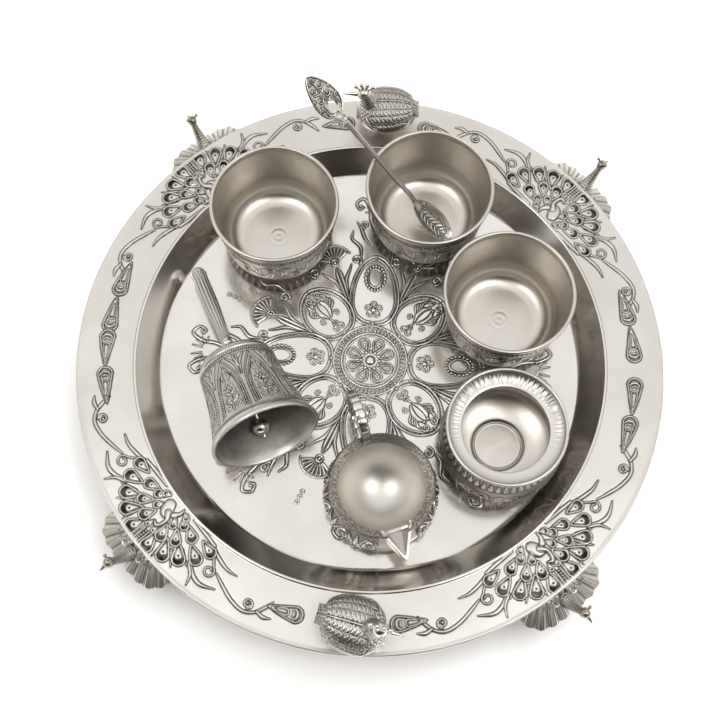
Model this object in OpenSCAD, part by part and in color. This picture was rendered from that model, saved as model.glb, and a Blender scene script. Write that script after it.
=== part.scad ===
// Puja thali: a silver tray on four peacock feet, with three bowls, a water pot,
// an oil lamp, a hand bell and a spoon. Millimetres, +Z up, the table is z = 0.
// The origin is on the tray's axis, at table height. +Y is the side away from the reader.

/* [Tray] */
// Outside diameter of the tray
tray_d = 342.9; // [330:0.1:380]
// Width of the flat rim
rim_w = 34.1; // [32:0.1:37]
// Width of the sloping wall of the well, seen from above
wall_run = 13.4; // [11:0.1:16]
// Depth of the well below the rim
well_depth = 12.15; // [10:0.05:15]
// Thickness of the tray sheet
tray_sheet = 1.2; // [1:0.1:1.5]
// Height of the rim's top face above the table
rim_height = 38; // [34:0.5:46]
// Radius of the rolled bead at the outer edge
edge_bead_r = 1.1; // [0.9:0.1:1.3]
// Height of the raised line at the inner edge of the rim
inner_bead_h = 0.6; // [0.4:0.1:0.8]

/* [Bowls] */
// Outside diameter over the rolled lip
bowl_d = 75.4; // [70:0.1:78]
// Height of a bowl
bowl_h = 46; // [40:0.5:54]
// Thickness of the bowl sheet
bowl_sheet = 1; // [0.8:0.1:1.4]
// Radius of the rolled lip
bowl_lip_r = 1.15; // [1:0.05:1.4]
// How much narrower the wall is at the bottom, on the radius
bowl_taper = 3.2; // [2:0.1:4.5]
// Radius of the rounded bottom corner
bowl_corner_r = 14; // [11:0.5:16]

/* [Pot] */
// Diameter of the flared mouth
pot_mouth_d = 67; // [62:0.5:68]
// Largest diameter of the belly
pot_belly_d = 70; // [64:0.5:71]
// Height of the pot
pot_h = 45; // [42:0.5:50]
// Inside diameter of the neck
pot_neck_d = 49; // [44:0.5:52]
// Diameter of the foot
pot_foot_d = 36; // [32:0.5:40]
// Thickness of the pot sheet
pot_sheet = 1.1; // [0.9:0.1:1.4]
// Drop of the flared mouth from its edge to the neck
pot_flare_drop = 5.5; // [4:0.1:7]

/* [Lamp] */
// Diameter of the lamp's opening
lamp_opening_d = 48.8; // [45:0.1:51]
// Width of the band round the opening
lamp_band_w = 4.9; // [4:0.1:5.5]
// Height of the lamp's band above the tray floor
lamp_h = 30; // [28:0.5:34]
// Wall thickness of the cup and its skirt
lamp_wall = 1.5; // [1.2:0.1:2]
// Radius of the bulging skirt below the band
lamp_bulge_r = 32; // [30:0.5:33]
// Reach of the spout's tip from the cup's axis
lamp_spout_reach = 42; // [39:0.5:45]
// Half width of the spout where it leaves the cup
lamp_spout_half_w = 9; // [8:0.5:10]
// Thickness of the handle bar
lamp_bar_d = 4.4; // [3.8:0.1:5]
// Radius of the handle's loop
lamp_loop_r = 14.5; // [13:0.5:16]

/* [Bell] */
// Diameter of the bell's mouth
bell_mouth_d = 62; // [58:0.5:64]
// Diameter at the shoulder bead
bell_shoulder_d = 44.2; // [42:0.1:46]
// Distance from the mouth to the shoulder bead
bell_shoulder_at = 48.9; // [46:0.1:52]
// Height of the domed crown above the shoulder
bell_crown_h = 7.5; // [6:0.5:9]
// Wall thickness of the bell
bell_wall = 1.4; // [1.2:0.1:1.8]
// Length of the handle above the crown
bell_handle_len = 66; // [60:0.5:68]
// Largest diameter of the handle
bell_grip_d = 9.2; // [8:0.1:10]
// Radius of the clapper's ball
clapper_ball_r = 5; // [4:0.1:5.5]
// Distance from the clapper's pivot to the middle of its ball
clapper_len = 35; // [31:0.5:37]

/* [Spoon] */
// Length of the spoon's bowl
spoon_bowl_len = 34; // [30:0.5:36]
// Width of the spoon's bowl
spoon_bowl_w = 15.6; // [14:0.1:18]
// Depth of the spoon's bowl
spoon_bowl_depth = 4.6; // [3.6:0.1:5.4]
// Length of the straight stem from the spoon's bowl to the eyelet
spoon_stem_len = 68; // [64:0.5:74]
// Diameter of the stem
spoon_stem_d = 3; // [2.6:0.1:3.4]
// Length of the leaf-shaped finial
finial_len = 29; // [26:0.5:32]
// Width of the finial
finial_w = 18.8; // [16:0.1:21]

/* [Feet] */
// Span of the spread wings, tip to tip
wing_span = 56; // [50:0.5:60]
// Reach of the wings' edge beyond the tray
wing_reach = 13; // [11:0.5:15]
// Drop of the wings' edge below their root
wing_drop = 9; // [7:0.5:11]
// Diameter of the sole
sole_d = 20; // [17:0.5:24]
// Height of the crested head above the rim's top face
foot_head_rise = 14; // [11:0.5:16]
// Thickness of the cast wings
wing_t = 1.6; // [1.3:0.1:2]

/* [Rim figurines] */
// Length of the bird's body
bird_len = 39; // [35:0.5:41]
// Width of the bird's body
bird_w = 30; // [27:0.5:31]
// Height of the bird's crest above the rim
bird_h = 40; // [36:0.5:44]
// Diameter of the fixing screw's shank
screw_d = 2.8; // [2.4:0.1:3.2]

/* [Hidden] */

// Facets of a full turn; every round surface of a revolve is a true one
$fn = 96;
// Facets of small round details
small_fn = 24;
// Steps of a curved stretch of a profile
arc_steps = 10;
// Gap between pieces of different bodies that would otherwise touch on a curve
gap = 0.3;
// Overrun of a cut past the face that it opens
overrun = 1;
// Radial clearance of a screw or stud in its hole
hole_clear = 0.05;
// Radial clearance of the clapper's eye on its pin
pin_clear = 0.1;
// Length of an overlap that joins two shapes of one piece
weld = 0.4;

silver = [0.80, 0.79, 0.76];
bright = [0.88, 0.87, 0.85];
antique = [0.66, 0.64, 0.59];

// Tray: derived radii and heights
tray_r = tray_d / 2;
rim_in_r = tray_r - rim_w;
floor_r = rim_in_r - wall_run;
rim_under = rim_height - tray_sheet;
floor_top = rim_height - well_depth;
wall_slope = atan2(well_depth, wall_run);
// Radii of the two bends of the well, at the floor and at the rim
floor_bend_r = 4;
rim_bend_r = 1.4;
inner_bead_r = inner_bead_h;

// Bowls: derived
bowl_r = bowl_d / 2;
bowl_wall_top_r = bowl_r - bowl_lip_r;
bowl_wall_low_r = bowl_wall_top_r - bowl_taper;
bowl_base_r = bowl_wall_low_r - bowl_corner_r;

// Lamp and pot: derived
lamp_in_r = lamp_opening_d / 2;
lamp_band_r = lamp_in_r + lamp_band_w;
pot_mouth_r = pot_mouth_d / 2;
pot_belly_r = pot_belly_d / 2;
pot_neck_r = pot_neck_d / 2;

// Places of the vessels on the tray floor: distances from the axis as shares of the floor
// radius, and gaps between neighbours; the angles follow from both
bowl_right_dist_share = 0.662;
bowl_back_dist_share = 0.791;
bowl_left_dist_share = 0.795;
pot_dist_share = 0.728;
lamp_dist_share = 0.663;
bell_dist_share = 0.649;
bowl_right_turn = 22;
bowl_back_gap = 3.75;
bowl_left_gap = 16;
pot_gap = 6.2;
lamp_gap = 9.3;
bell_gap = 8.5;
bell_turn = 69.3;

// Angle between two neighbours at distances a and b from the axis that lie s apart
function swing(a, b, s) = acos((a * a + b * b - s * s) / (2 * a * b));
function at_polar(dist, turn) = [dist * cos(turn), dist * sin(turn)];

bowl_right_dist = bowl_right_dist_share * floor_r;
bowl_back_dist = bowl_back_dist_share * floor_r;
bowl_left_dist = bowl_left_dist_share * floor_r;
pot_dist = pot_dist_share * floor_r;
lamp_dist = lamp_dist_share * floor_r;
bell_dist = bell_dist_share * floor_r;
bowl_back_turn = bowl_right_turn + swing(bowl_right_dist, bowl_back_dist, bowl_d + bowl_back_gap);
bowl_left_turn = bowl_back_turn + swing(bowl_back_dist, bowl_left_dist, bowl_d + bowl_left_gap);
pot_turn = bowl_right_turn - swing(bowl_right_dist, pot_dist, bowl_r + pot_belly_r + pot_gap);
lamp_polar = pot_turn - swing(pot_dist, lamp_dist, pot_belly_r + lamp_band_r + lamp_gap);
bell_mouth_r = bell_mouth_d / 2;
bell_polar = lamp_polar - swing(lamp_dist, bell_dist, lamp_band_r + bell_mouth_r + bell_gap);
// Direction of the lamp's spout; its handle stands opposite
lamp_turn = -68.3;

// Bell: derived; it lies on its lip and its shoulder bead
bell_shoulder_r = bell_shoulder_d / 2;
bell_lip_share = 0.09;
bell_lip_edge = bell_lip_share * bell_shoulder_at / 3;
bell_tilt = atan2(bell_mouth_r - bell_shoulder_r, bell_shoulder_at - bell_lip_edge);
bell_axis_turn = bell_polar + bell_turn;
bell_mouth_rise = bell_mouth_r * cos(bell_tilt) + bell_lip_edge * sin(bell_tilt) + gap;
bell_crown_at = bell_shoulder_at + bell_crown_h;
bell_stud_r = 2;
bell_pin_r = 1;
clapper_eye_r = 2.7;
clapper_eye_w = 2.2;
clapper_rod_r = 0.9;
clapper_tail = 1.5;
clapper_tail_r = 1.2;
staple_w = 1.3;
// Height of the clapper's pivot above the mouth, inside the bell
bell_pivot_at = bell_shoulder_at - clapper_eye_r;
// The bell's radius at the lip band and at its waist, as shares between shoulder and mouth
bell_lip_r_share = 0.80;
bell_waist_r_share = 0.27;
bell_flare_power_share = 2.4;
// Outer radius of the bell at height z above its mouth
function bell_out_r(z) = let (
        low_z = bell_lip_share * bell_shoulder_at,
        t = (z - low_z) / (bell_shoulder_at - low_z)
    ) bell_shoulder_r + (bell_mouth_r - bell_shoulder_r)
        * (pow(1 - t, bell_flare_power_share) * bell_lip_r_share + (1 - t) * t * bell_waist_r_share);

// Feet and figurines: turns about the tray's axis, as they stand on this tray
foot_back_left_turn = 130;
foot_back_right_turn = 44;
foot_front_left_turn = 224.5;
foot_front_right_turn = 311;
figurine_back_turn = 90.8;
figurine_front_turn = 270.8;
figurine_back_yaw = 0;
figurine_front_yaw = -13;

// Points of an arc in a profile plane
function arc(cx, cy, r, from, to, steps = arc_steps) =
    [for (i = [0:steps]) let (a = from + (to - from) * i / steps) [cx + r * cos(a), cy + r * sin(a)]];

function reversed(points) = [for (i = [len(points) - 1:-1:0]) points[i]];

// Half profile of an egg along +Y: radius r, length front ahead and back behind its widest place
function egg(r, back, front, steps = arc_steps) = concat(
    [for (i = [0:steps]) let (a = -90 + 90 * i / steps) [r * cos(a), back * sin(a)]],
    [for (i = [1:steps]) let (a = 90 * i / steps) [r * cos(a), front * sin(a)]]);

// Turns a shape modelled along +Z so that it points along +X
module along_x() { rotate([0, 90, 0]) rotate([0, 0, 90]) children(); }

module egg_solid(r, back, front) { rotate_extrude() polygon(egg(r, back, front)); }

// A round bar between two points
module bar(p, q, r1, r2, fn = small_fn) {
    d = q - p;
    len = norm(d);
    translate(p)
        rotate([0, acos(d[2] / len), atan2(d[1], d[0])])
            cylinder(h = len, r1 = r1, r2 = r2, $fn = fn);
}

// Tray

// Upper outline of the tray sheet from the axis to the edge, lowered by drop along its normal
function tray_line(drop) = let (
        z0 = floor_top - drop,
        z1 = rim_height - drop,
        low_r = floor_bend_r + drop,
        high_r = rim_bend_r - drop,
        low_x = floor_r - low_r * tan(wall_slope / 2) + drop * tan(wall_slope / 2),
        high_x = rim_in_r + (rim_bend_r - drop) * tan(wall_slope / 2) + drop * tan(wall_slope / 2)
    ) concat(
        [[0, z0]],
        arc(low_x, z0 + low_r, low_r, -90, -90 + wall_slope),
        arc(high_x, z1 - high_r, high_r, 90 + wall_slope, 90));

module tray_dish() {
    color(silver)
    difference() {
        union() {
            rotate_extrude()
                polygon(concat(
                    tray_line(0),
                    [[tray_r - edge_bead_r, rim_height], [tray_r - edge_bead_r, rim_under]],
                    reversed(tray_line(tray_sheet))));
            // Rolled bead at the outer edge
            rotate_extrude()
                translate([tray_r - edge_bead_r, rim_height - edge_bead_r + tray_sheet / 4])
                    circle(r = edge_bead_r, $fn = small_fn);
            // Raised line where the rim meets the well
            rotate_extrude()
                translate([rim_in_r + inner_bead_r, rim_height - inner_bead_r / 4])
                    circle(r = inner_bead_r, $fn = small_fn);
        }
        for (turn = [figurine_back_turn, figurine_front_turn])
            rotate([0, 0, turn])
                translate([bird_ring_r, 0, rim_under - overrun])
                    cylinder(h = tray_sheet + 2 * overrun, r = screw_d / 2 + hole_clear);
    }
}

// Feet: a bird under the rim with spread, ribbed wings, a raised neck and a crested head

// Root of the wings, from the tray's axis
wing_root_in = 14.5;
wing_rib_count = 6;
wing_col_per_rib = 4;
wing_rows = 5;
wing_rib_h = 0.7;
wing_scallop = 1.3;
wing_half_span = wing_span / 2;
wing_depth = wing_root_in + wing_reach;
wing_near_gap = 2.5;
// Exponent of the wing's squarish outline
wing_square_share = 3.4;

function wing_point(u, v, low) = let (
        turn = 90 * u,
        rib = abs(sin(180 * wing_rib_count * u)),
        reach = pow(pow(cos(turn) / wing_depth, wing_square_share)
            + pow(sin(turn) / (wing_half_span - wing_near_gap), wing_square_share), -1 / wing_square_share)
            - wing_scallop * (1 - rib),
        r = wing_near_gap + (reach - wing_near_gap) * v
    ) [
        r * cos(turn),
        wing_near_gap + r * sin(turn),
        - wing_drop * v * v - wing_rib_h * (1 - rib) * v - (low ? wing_t : 0)
    ];

module wing() {
    cols = wing_rib_count * wing_col_per_rib;
    rows = wing_rows;
    n = (cols + 1) * (rows + 1);
    pts = [for (low = [0, 1], i = [0:cols], j = [0:rows]) wing_point(i / cols, j / rows, low == 1)];
    top = [for (i = [0:cols - 1], j = [0:rows - 1]) let (a = i * (rows + 1) + j, b = a + rows + 1)
        each [[a, b, b + 1], [a, b + 1, a + 1]]];
    low = [for (f = top) [f[0] + n, f[2] + n, f[1] + n]];
    rim = concat(
        [for (i = [0:cols]) i * (rows + 1)],
        [for (j = [1:rows]) cols * (rows + 1) + j],
        [for (i = [cols - 1:-1:0]) i * (rows + 1) + rows],
        [for (j = [rows - 1:-1:1]) j]);
    m = len(rim);
    side = [for (k = [0:m - 1]) let (a = rim[k], b = rim[(k + 1) % m])
        each [[a, b + n, b], [a, a + n, b + n]]];
    polyhedron(points = pts, faces = concat(top, low, side));
}

breast_r = 7.6;
breast_len = 13;
neck_low_r = 3.6;
neck_top_r = 2;
head_r = 3.1;
beak_len = 4.2;
crest_bead_r = 1.05;
crest_rise = 3.4;
leg_r = 4.6;
sole_h = 2.2;
sole_edge_h = 0.8;
lug_r = 7;

module foot_bird() {
    root_x = tray_r - wing_root_in;
    wing_z = rim_under - gap;
    breast_z = rim_under - breast_r - tray_sheet;
    neck_x = tray_r + neck_low_r + edge_bead_r;
    head_x = tray_r + wing_reach + head_r;
    head_z = rim_height + foot_head_rise - head_r - crest_rise;
    // Wings, one each side
    for (side = [0, 1])
        mirror([0, side, 0])
            translate([root_x, 0, wing_z])
                wing();
    // Breast, swelling outwards below the rim
    translate([root_x + breast_r / 2, 0, breast_z])
        rotate([0, 75, 0])
            egg_solid(breast_r, breast_len / 2, breast_len);
    // Lug that is soldered to the rim's underside
    translate([root_x, 0, breast_z])
        cylinder(h = rim_under - breast_z, r = lug_r);
    // Leg and sole
    translate([root_x, 0, 0])
        rotate_extrude()
            polygon(concat(
                [[0, 0], [sole_d / 2, 0], [sole_d / 2, sole_edge_h], [sole_d / 2 - sole_edge_h, sole_h]],
                arc(leg_r + sole_h * 2, sole_h * 3, sole_h * 2, 250, 180),
                [[leg_r, breast_z], [0, breast_z]]));
    // Neck, curving up and outwards to the head
    hull() {
        translate([neck_x - neck_low_r, 0, breast_z]) sphere(r = neck_low_r + 1, $fn = small_fn);
        translate([neck_x + neck_low_r, 0, rim_under - neck_low_r]) sphere(r = neck_low_r, $fn = small_fn);
    }
    hull() {
        translate([neck_x + neck_low_r, 0, rim_under - neck_low_r]) sphere(r = neck_low_r, $fn = small_fn);
        translate([head_x - head_r / 2, 0, head_z - head_r]) sphere(r = neck_top_r, $fn = small_fn);
    }
    translate([head_x, 0, head_z]) sphere(r = head_r, $fn = small_fn);
    bar([head_x, 0, head_z], [head_x + head_r + beak_len, 0, head_z - head_r / 2], head_r / 2, head_r / 8);
    // Crest of three beaded plumes
    for (lean = [-35, 0, 35])
        translate([head_x, 0, head_z])
            rotate([lean, -10, 0]) {
                cylinder(h = head_r + crest_rise - crest_bead_r, r = crest_bead_r / 2, $fn = small_fn);
                translate([0, 0, head_r + crest_rise - crest_bead_r])
                    sphere(r = crest_bead_r, $fn = small_fn);
            }
}

module foot(turn) { color(antique) rotate([0, 0, turn]) foot_bird(); }
module foot_back_left() { foot(foot_back_left_turn); }
module foot_back_right() { foot(foot_back_right_turn); }
module foot_front_left() { foot(foot_front_left_turn); }
module foot_front_right() { foot(foot_front_right_turn); }

// Rim figurines: a sitting, crested bird that faces along the rim, held by a screw from below

// Radius of the ring on which the figurines stand
bird_ring_share = 0.56;
bird_ring_r = rim_in_r + bird_ring_share * rim_w;
bird_seat_r = 8;
bird_seat_h = 3;
bird_neck_r = 4.6;
bird_throat_r = 3.2;
bird_head_r = 4.3;
bird_beak_len = 8;
bird_crest_h = 6;
bird_prong_r = 0.75;
bird_body_r = 11;
bird_wing_r = 9.6;
// Length of the body ahead of its widest place, where the head stands on that length, and the wings' length
bird_front_share = 0.42;
bird_head_share = 0.72;
bird_wing_share = 0.84;
bird_pitch = 8;
screw_head_r = 3;
screw_head_h = 1.6;
screw_grip = 6;

module figurine(turn, yaw) {
    body_z = bird_body_r + bird_seat_h / 2;
    front = bird_front_share * bird_len;
    back = (1 - bird_front_share) * bird_len;
    head_z = bird_h - bird_crest_h - bird_head_r;
    head_x = bird_head_share * front;
    color(antique)
    rotate([0, 0, turn])
        translate([bird_ring_r, 0, rim_height])
            rotate([0, 0, 90 + yaw])
                difference() {
                    union() {
                        // Body
                        translate([0, 0, body_z])
                            rotate([0, bird_pitch, 0])
                                along_x() egg_solid(bird_body_r, back, front);
                        // Seat on the rim
                        cylinder(h = body_z, r1 = bird_seat_r, r2 = bird_seat_r + bird_seat_h);
                        // Folded wings, swelling at both sides
                        for (side = [1, -1])
                            translate([0, side * (bird_w / 2 - bird_wing_r), body_z + gap])
                                rotate([0, bird_pitch, side * bird_pitch / 2])
                                    along_x()
                                        egg_solid(bird_wing_r, back * bird_wing_share,
                                            front * bird_wing_share);
                        // Neck, head and beak
                        bar([head_x / 2, 0, body_z], [head_x, 0, head_z],
                            bird_neck_r + bird_throat_r, bird_throat_r);
                        translate([head_x, 0, head_z]) sphere(r = bird_head_r);
                        bar([head_x, 0, head_z],
                            [head_x + bird_head_r + bird_beak_len, 0, head_z - bird_head_r / 4],
                            bird_head_r / 2, bird_head_r / 8);
                        // Crest of four prongs in a fan
                        for (lean = [-36, -12, 12, 36])
                            translate([head_x, 0, head_z])
                                rotate([0, lean, 0]) {
                                    cylinder(h = bird_head_r + bird_crest_h - bird_prong_r,
                                        r = bird_prong_r, $fn = small_fn);
                                    translate([0, 0, bird_head_r + bird_crest_h - 2 * bird_prong_r])
                                        sphere(r = 2 * bird_prong_r, $fn = small_fn);
                                }
                    }
                    // Threaded hole for the fixing screw
                    translate([0, 0, -overrun])
                        cylinder(h = screw_grip + overrun + gap, r = screw_d / 2 + hole_clear);
                }
}

module figurine_screw(turn) {
    color(bright)
    rotate([0, 0, turn])
        translate([bird_ring_r, 0, rim_under]) {
            cylinder(h = tray_sheet + screw_grip, r = screw_d / 2);
            difference() {
                mirror([0, 0, 1])
                    rotate_extrude()
                        polygon(concat([[0, 0], [screw_head_r, 0], [screw_head_r, screw_head_h / 2]],
                            arc(screw_head_r - screw_head_h / 2, screw_head_h / 2, screw_head_h / 2, 0, 90),
                            [[0, screw_head_h]]));
                // Driver slot
                translate([-screw_head_r - overrun, -screw_d / 8, -screw_head_h - overrun])
                    cube([2 * (screw_head_r + overrun), screw_d / 4, overrun + screw_head_h / 2]);
            }
        }
}

module figurine_back() { figurine(figurine_back_turn, figurine_back_yaw); }
module figurine_front() { figurine(figurine_front_turn, figurine_front_yaw); }
module figurine_screw_back() { figurine_screw(figurine_back_turn); }
module figurine_screw_front() { figurine_screw(figurine_front_turn); }

// Bowls

function bowl_line(inset) = concat(
    [[0, inset], [bowl_base_r, inset]],
    arc(bowl_base_r, bowl_corner_r, bowl_corner_r - inset, -90, 0),
    [[bowl_wall_top_r - inset, bowl_h - bowl_lip_r]]);

module bowl(dist, turn) {
    place = at_polar(dist, turn);
    color(silver)
    translate([place[0], place[1], floor_top]) {
        rotate_extrude()
            polygon(concat(bowl_line(0), reversed(bowl_line(bowl_sheet))));
        rotate_extrude()
            translate([bowl_r - bowl_lip_r, bowl_h - bowl_lip_r])
                circle(r = bowl_lip_r, $fn = small_fn);
    }
}

module bowl_left() { bowl(bowl_left_dist, bowl_left_turn); }
module bowl_back() { bowl(bowl_back_dist, bowl_back_turn); }
module bowl_right() { bowl(bowl_right_dist, bowl_right_turn); }

// Pot: a round belly on a low foot, and a flared mouth soldered into its neck

pot_foot_r = pot_foot_d / 2;
pot_foot_h = 2;
pot_neck_at = pot_h - pot_flare_drop;
pot_collar_h = 3;
pot_belly_top = pot_neck_at - pot_collar_h;
pot_belly_at_share = 0.44;
pot_belly_at = pot_belly_top * pot_belly_at_share;
pot_lip_r = 1;

// Half the belly's outline: a quarter oval below its widest place and one above
function belly_line(inset) = let (
        low = acos((pot_foot_r - pot_sheet) / pot_belly_r),
        high = acos((pot_neck_r + pot_sheet) / pot_belly_r)
    ) concat(
    [for (i = [0:arc_steps]) let (a = -low * (1 - i / arc_steps))
        [(pot_belly_r - inset) * cos(a),
         pot_belly_at + (pot_belly_at - pot_foot_h - inset) * sin(a) / sin(low)]],
    [for (i = [1:arc_steps]) let (a = high * i / arc_steps)
        [(pot_belly_r - inset) * cos(a),
         pot_belly_at + (pot_belly_top - pot_belly_at) * sin(a) / sin(high)]]);

module at_pot() {
    place = at_polar(pot_dist, pot_turn);
    translate([place[0], place[1], floor_top]) children();
}

module pot_belly() {
    in_line = belly_line(pot_sheet);
    color(silver)
    at_pot() {
        rotate_extrude()
            polygon(concat(
                [[0, pot_foot_h - weld]], [[pot_foot_r - pot_sheet, pot_foot_h - weld]],
                belly_line(0),
                reversed(in_line),
                [[0, in_line[0][1]]]));
        // Foot ring
        rotate_extrude()
            polygon([[pot_foot_r - 3 * pot_sheet, 0], [pot_foot_r, 0], [pot_foot_r, pot_foot_h / 2],
                [pot_foot_r - pot_sheet, pot_foot_h], [pot_foot_r - 3 * pot_sheet, pot_foot_h]]);
    }
}

// Flared mouth: neck collar, two ring lines and a wide lip with a beaded edge
module pot_mouth() {
    in_r = pot_neck_r;
    out_r = pot_neck_r + pot_sheet;
    flare_steps = arc_steps;
    flare_run = pot_mouth_r - pot_lip_r - in_r;
    color(silver)
    at_pot() {
        rotate_extrude()
            polygon(concat(
                [[in_r, pot_belly_top], [out_r + pot_sheet / 4, pot_belly_top],
                    [out_r, pot_neck_at - pot_sheet]],
                [for (i = [1:flare_steps]) let (a = 90 * i / flare_steps)
                    [out_r + (flare_run - pot_sheet) * sin(a),
                     pot_neck_at - pot_sheet + pot_flare_drop * (1 - cos(a))]],
                [for (i = [flare_steps:-1:0]) let (a = 90 * i / flare_steps)
                    [in_r + flare_run * sin(a), pot_neck_at + (pot_flare_drop - pot_lip_r) * (1 - cos(a))]]));
        rotate_extrude()
            translate([pot_mouth_r - pot_lip_r, pot_h - pot_lip_r])
                circle(r = pot_lip_r, $fn = small_fn);
        // Ring lines round the neck
        for (z = [pot_belly_top + pot_collar_h / 3, pot_neck_at - pot_sheet])
            translate([0, 0, z])
                rotate_extrude()
                    translate([out_r, 0])
                        circle(r = pot_sheet / 2, $fn = small_fn);
    }
}

// Oil lamp: a round cup in a bulging skirt, with a sloping band, a pouring spout and a looped handle

lamp_cup_r = lamp_in_r + lamp_wall;
lamp_band_drop = 3.2;
lamp_cup_at = lamp_h - lamp_band_drop - lamp_wall / 2;
lamp_foot_r = 19;
lamp_bulge_at = 10;
lamp_neck_at = 22;
lamp_neck_r = lamp_cup_r + lamp_wall / 2;
lamp_band_t = 1.6;
lamp_spout_low = lamp_h * 0.5;
lamp_spout_tip_r = 1.6;
lamp_spout_tip_t = 3.2;
lamp_spout_tip_drop = 4;
lamp_spout_wall = 1.5;

// Outline of the bulging skirt, from its foot up to the neck under the band; inset is measured inwards
function lamp_skirt_line(inset) = concat(
    [for (i = [0:arc_steps]) let (a = 90 * i / arc_steps)
        [lamp_foot_r - inset + (lamp_bulge_r - lamp_foot_r) * sin(a), lamp_bulge_at * (1 - cos(a))]],
    [for (i = [1:arc_steps]) let (a = 180 * i / arc_steps)
        [lamp_neck_r - inset + (lamp_bulge_r - lamp_neck_r) * (1 + cos(a)) / 2,
         lamp_bulge_at + (lamp_neck_at - lamp_bulge_at) * i / arc_steps]]);

// Upper outline of the band, from its rounded outer edge down to the opening and on to the axis
lamp_band_line = [[lamp_band_r, lamp_h - lamp_band_t / 2], [lamp_band_r - lamp_band_t / 2, lamp_h],
    [lamp_in_r, lamp_h - lamp_band_drop], [0, lamp_h - lamp_band_drop]];

module at_lamp() {
    place = at_polar(lamp_dist, lamp_polar);
    translate([place[0], place[1], floor_top])
        rotate([0, 0, lamp_turn]) children();
}

// The spout's trough: wide at the cup and narrow at the tip; grow shrinks it to its inside
module lamp_trough(inset, top) {
    hull() {
        translate([lamp_in_r - lamp_spout_wall, -lamp_spout_half_w + inset, lamp_spout_low + inset * 2])
            cube([lamp_spout_wall, 2 * (lamp_spout_half_w - inset), top - lamp_spout_low - inset * 2]);
        translate([lamp_in_r - lamp_spout_wall, -lamp_spout_half_w / 2 + inset / 2, lamp_spout_low + inset])
            cube([lamp_spout_wall, lamp_spout_half_w - inset, top - lamp_spout_low - inset]);
        translate([lamp_spout_reach - lamp_spout_tip_r - inset, 0,
            lamp_h - lamp_spout_tip_drop - lamp_spout_tip_t + inset])
            cylinder(h = top - lamp_h + lamp_spout_tip_t - inset, r = lamp_spout_tip_r - inset / 2,
                $fn = small_fn);
    }
}

module lamp_cup() {
    color(silver)
    at_lamp()
        difference() {
            union() {
                // Round cup, and the skirt that carries it
                intersection() {
                    translate([0, 0, lamp_cup_at]) sphere(r = lamp_cup_r);
                    cylinder(h = lamp_cup_at, r = lamp_cup_r + overrun);
                }
                rotate_extrude()
                    polygon(concat(lamp_skirt_line(0), reversed(lamp_skirt_line(lamp_wall))));
                // Band round the opening, sloping down to it, with a rounded outer edge
                rotate_extrude()
                    polygon(concat([[0, lamp_neck_at - lamp_wall],
                        [lamp_neck_r, lamp_neck_at - lamp_wall / 2], [lamp_neck_r, lamp_neck_at],
                        [lamp_band_r, lamp_h - lamp_band_t]], lamp_band_line));
                lamp_trough(0, lamp_h);
            }
            translate([0, 0, lamp_cup_at]) sphere(r = lamp_in_r);
            translate([0, 0, lamp_cup_at]) cylinder(h = lamp_h, r = lamp_in_r);
            lamp_trough(lamp_spout_wall, lamp_h + lamp_spout_tip_drop + overrun);
        }
}

// The handle stands opposite the spout: a loop that leaves the band, arches out and returns to the cup
lamp_bar_r = lamp_bar_d / 2;
lamp_loop_x = lamp_in_r + lamp_loop_r + lamp_bar_r;
lamp_loop_z = lamp_h - lamp_loop_r * 0.3;
lamp_loop_from = -110;
lamp_loop_to = 145;
lamp_ridge_count = 15;
lamp_ridge_h = 0.55;

// A point of the loop's middle line
function loop_point(turn) = [lamp_loop_x + lamp_loop_r * cos(turn), 0, lamp_loop_z + lamp_loop_r * sin(turn)];

module lamp_handle() {
    low_end = loop_point(lamp_loop_from);
    low_seat = [lamp_neck_r, 0, low_end[2] + lamp_bar_r];
    top_end = loop_point(lamp_loop_to);
    top_seat = [lamp_in_r + lamp_bar_r, 0, lamp_h - lamp_band_drop - lamp_bar_r];
    color(antique)
    at_lamp()
        rotate([0, 0, 180])
            difference() {
                union() {
                    translate([lamp_loop_x, 0, lamp_loop_z])
                        rotate([90, 0, 0])
                            rotate([0, 0, lamp_loop_from])
                                rotate_extrude(angle = lamp_loop_to - lamp_loop_from)
                                    translate([lamp_loop_r, 0])
                                        circle(r = lamp_bar_r, $fn = small_fn);
                    // Ridges across the bar, with one at each bend
                    for (i = [0:lamp_ridge_count - 1]) {
                        share = i / (lamp_ridge_count - 1);
                        translate(loop_point(lamp_loop_from + (lamp_loop_to - lamp_loop_from) * share))
                            sphere(r = lamp_bar_r + lamp_ridge_h, $fn = small_fn);
                    }
                    bar(low_end, low_seat, lamp_bar_r, lamp_bar_r);
                    bar(top_end, top_seat, lamp_bar_r, lamp_bar_r);
                }
                // Seats on the band and against the skirt
                rotate_extrude()
                    polygon(concat([[0, 0]], lamp_skirt_line(0), [[lamp_band_r, lamp_h - lamp_band_t]],
                        lamp_band_line));
            }
}

// Hand bell, lying on its side; modelled upright on its mouth, then laid down

module at_bell() {
    place = at_polar(bell_dist, bell_polar);
    translate([place[0], place[1], floor_top + bell_mouth_rise])
        rotate([0, 0, bell_axis_turn])
            rotate([0, -90 - bell_tilt, 0])
                children();
}

function bell_line(inset) = let (
        lip_z = bell_lip_share * bell_shoulder_at
    ) concat(
        [[bell_mouth_r - inset, 0], [bell_mouth_r - inset, bell_lip_edge]],
        [for (i = [0:arc_steps]) let (z = lip_z + (bell_shoulder_at - lip_z) * i / arc_steps)
            [bell_out_r(z) - inset, z]],
        [for (i = [1:arc_steps]) let (a = 90 * i / arc_steps)
            [(bell_shoulder_r - inset) * cos(a) + bell_stud_r * 2 * (1 - cos(a)),
             bell_shoulder_at + (bell_crown_h - inset) * sin(a)]]);

bell_bead_r = 1;
bell_collar_r = 6;

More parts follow.
